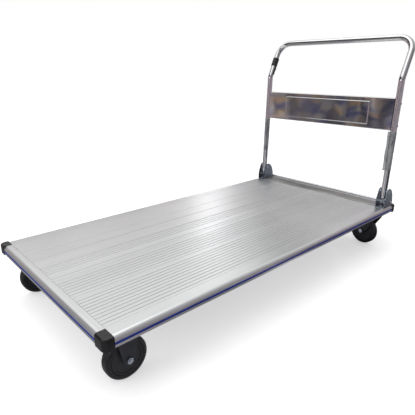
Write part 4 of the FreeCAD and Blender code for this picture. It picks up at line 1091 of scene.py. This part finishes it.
def floor_bands(centre_x):
    """Dark and pale wedges of floor, fanned out from under the handle."""
    wedges = [(0.00, (0.22, 0.22, 0.23)), (0.06, (0.45, 0.44, 0.48)), (0.08, (0.10, 0.10, 0.11)),
            (0.122, (0.04, 0.04, 0.05)), (0.128, (0.95, 0.92, 0.98)), (0.150, (0.85, 0.83, 0.90)),
            (0.158, (0.06, 0.06, 0.07)), (0.36, (0.03, 0.03, 0.04)), (0.40, (0.55, 0.54, 0.58)),
            (0.45, (0.30, 0.29, 0.31)), (0.50, (0.50, 0.50, 0.52)), (0.60, (0.62, 0.62, 0.64)),
            (0.80, (0.30, 0.30, 0.31)), (1.0, (0.22, 0.22, 0.23))]
    material, tree, glow = emission_only("floor_bands")
    place = tree.nodes.new("ShaderNodeTexCoord")
    mapping = tree.nodes.new("ShaderNodeMapping")
    mapping.inputs["Location"].default_value = (-centre_x, 0, 0)
    fan = tree.nodes.new("ShaderNodeTexGradient")
    fan.gradient_type = "RADIAL"
    tree.links.new(place.outputs["Object"], mapping.inputs["Vector"])
    tree.links.new(mapping.outputs["Vector"], fan.inputs["Vector"])
    tree.links.new(shades(tree, fan.outputs["Fac"], wedges), glow.inputs["Color"])
    return material


def only_mirrored(prop):
    prop.visible_camera = False
    prop.visible_diffuse = False
    prop.visible_shadow = False
    prop.visible_transmission = False
    prop.visible_volume_scatter = False


bm = bmesh.new()
SCREEN_RADIUS = 2.6
SCREEN_HEIGHT = 1.15
UNDER_HANDLE_X = 0.66
ring = [[bm.verts.new((SCREEN_RADIUS * math.cos(2 * math.pi * k / 72),
                       SCREEN_RADIUS * math.sin(2 * math.pi * k / 72), z)) for k in range(72)]
        for z in (0.0, SCREEN_HEIGHT)]
skinned(bm, ring)
screens = piece_from("workshop_screens", bm)
screens.data.materials.append(workshop_shelves())
only_mirrored(screens)
bm = bmesh.new()
bmesh.ops.create_circle(bm, cap_ends=True, segments=72, radius=SCREEN_RADIUS)
mat = piece_from("workshop_mat", bm)
mat.location.z = 0.001
mat.data.materials.append(floor_bands(UNDER_HANDLE_X))
only_mirrored(mat)


def softbox(name, place, target, size, watts, colour=(1, 1, 1)):
    lamp = bpy.data.lights.new(name, "AREA")
    lamp.shape = "RECTANGLE"
    lamp.size, lamp.size_y = size
    lamp.energy = watts
    lamp.color = colour
    holder = bpy.data.objects.new(name, lamp)
    bpy.context.collection.objects.link(holder)
    holder.location = place
    holder.rotation_euler = (Vector(target) - Vector(place)).to_track_quat("-Z", "Y").to_euler()
    holder.visible_camera = False
    return holder


softbox("overhead", (-0.6, 0.5, 3.2), (0, 0, 0.2), (3.6, 3.0), 30)
softbox("front_fill", (-3.4, 0.6, 1.5), (0, 0, 0.3), (1.6, 1.0), 14)
softbox("window_glare", (3.7, 4.1, 2.1), (-0.05, 0.05, 0.19), (0.34, 1.1), 6)


# Room: plain white behind the cart. Polished metal mirrors a room that is darker low down, to the
# right and towards the shelves; the light on dull surfaces is softer.
world = bpy.data.worlds.new("room")
bpy.context.scene.world = world
world.use_nodes = True
room = world.node_tree
background = room.nodes["Background"]
direction = room.nodes.new("ShaderNodeTexCoord")
parts = room.nodes.new("ShaderNodeSeparateXYZ")
room.links.new(direction.outputs["Generated"], parts.inputs["Vector"])
height = shades(room, spread(room, parts.outputs["Z"], 0.0, 1.0, -0.3, 0.9),
                [(0.0, (0.22, 0.22, 0.22)), (0.34, (0.26, 0.26, 0.26)), (0.44, (0.40, 0.40, 0.40)),
                 (0.52, (0.66, 0.665, 0.66)), (0.60, (0.86, 0.87, 0.86)),
                 (1.0, (0.96, 0.97, 0.96))])
from_left = shades(room, spread(room, parts.outputs["Y"], 0.0, 1.0, -0.9, 0.4),
                   [(0.0, (0.30, 0.30, 0.32)), (1.0, (1.0, 1.0, 1.0))])
to_shelves = room.nodes.new("ShaderNodeVectorMath")
to_shelves.operation = "DOT_PRODUCT"
to_shelves.inputs[1].default_value = (-0.70, 0.70, -0.15)
room.links.new(direction.outputs["Generated"], to_shelves.inputs[0])
shelf_dark = shades(room, spread(room, to_shelves.outputs["Value"], 0.0, 1.0, 0.45, 0.80),
                    [(0.0, (1.0, 1.0, 1.0)), (1.0, (0.08, 0.075, 0.08))])
mirrored_room = mixed(room, "MULTIPLY", 1.0, height, from_left)
mirrored_room = mixed(room, "MULTIPLY", 1.0, mirrored_room, shelf_dark)
soft_height = shades(room, spread(room, parts.outputs["Z"], 0.0, 1.0, -0.3, 0.5),
                     [(0.0, (0.10, 0.10, 0.10)), (0.4, (0.30, 0.30, 0.30)),
                      (1.0, (0.80, 0.80, 0.80))])
soft_room = mixed(room, "MULTIPLY", 0.6, soft_height, from_left)
ray = room.nodes.new("ShaderNodeLightPath")
lit_room = mixed(room, "MIX", ray.outputs["Is Diffuse Ray"], mirrored_room, soft_room)
sky = mixed(room, "MIX", ray.outputs["Is Camera Ray"], lit_room, (1.0, 1.0, 1.0))
room.links.new(sky, background.inputs["Color"])
background.inputs["Strength"].default_value = 1.0
bpy.context.scene.view_settings.view_transform = "Standard"

# Camera: standing eye level, off the front right corner, looking down along the deck.
VIEW_YAW = math.radians(42.43)
VIEW_DOWN = math.radians(18.74)
VIEW_ROLL = math.radians(0.17)
camera_data = bpy.data.cameras.new("camera")
camera_data.lens = 34.98
camera_data.sensor_width = 36.0
camera = bpy.data.objects.new("camera", camera_data)
bpy.context.collection.objects.link(camera)
right = Vector((math.cos(VIEW_YAW), -math.sin(VIEW_YAW), 0))
ahead = Vector((math.cos(VIEW_DOWN) * math.sin(VIEW_YAW), math.cos(VIEW_DOWN) * math.cos(VIEW_YAW),
                -math.sin(VIEW_DOWN)))
up = right.cross(ahead)
rolled = right * math.cos(VIEW_ROLL) + up * math.sin(VIEW_ROLL)
upward = rolled.cross(ahead)
turn = Matrix((rolled, upward, -ahead)).transposed().to_4x4()
camera.matrix_world = Matrix.Translation((-1.1001, -1.0962, 0.7745)) @ turn
bpy.context.scene.camera = camera

bpy.context.view_layer.update()
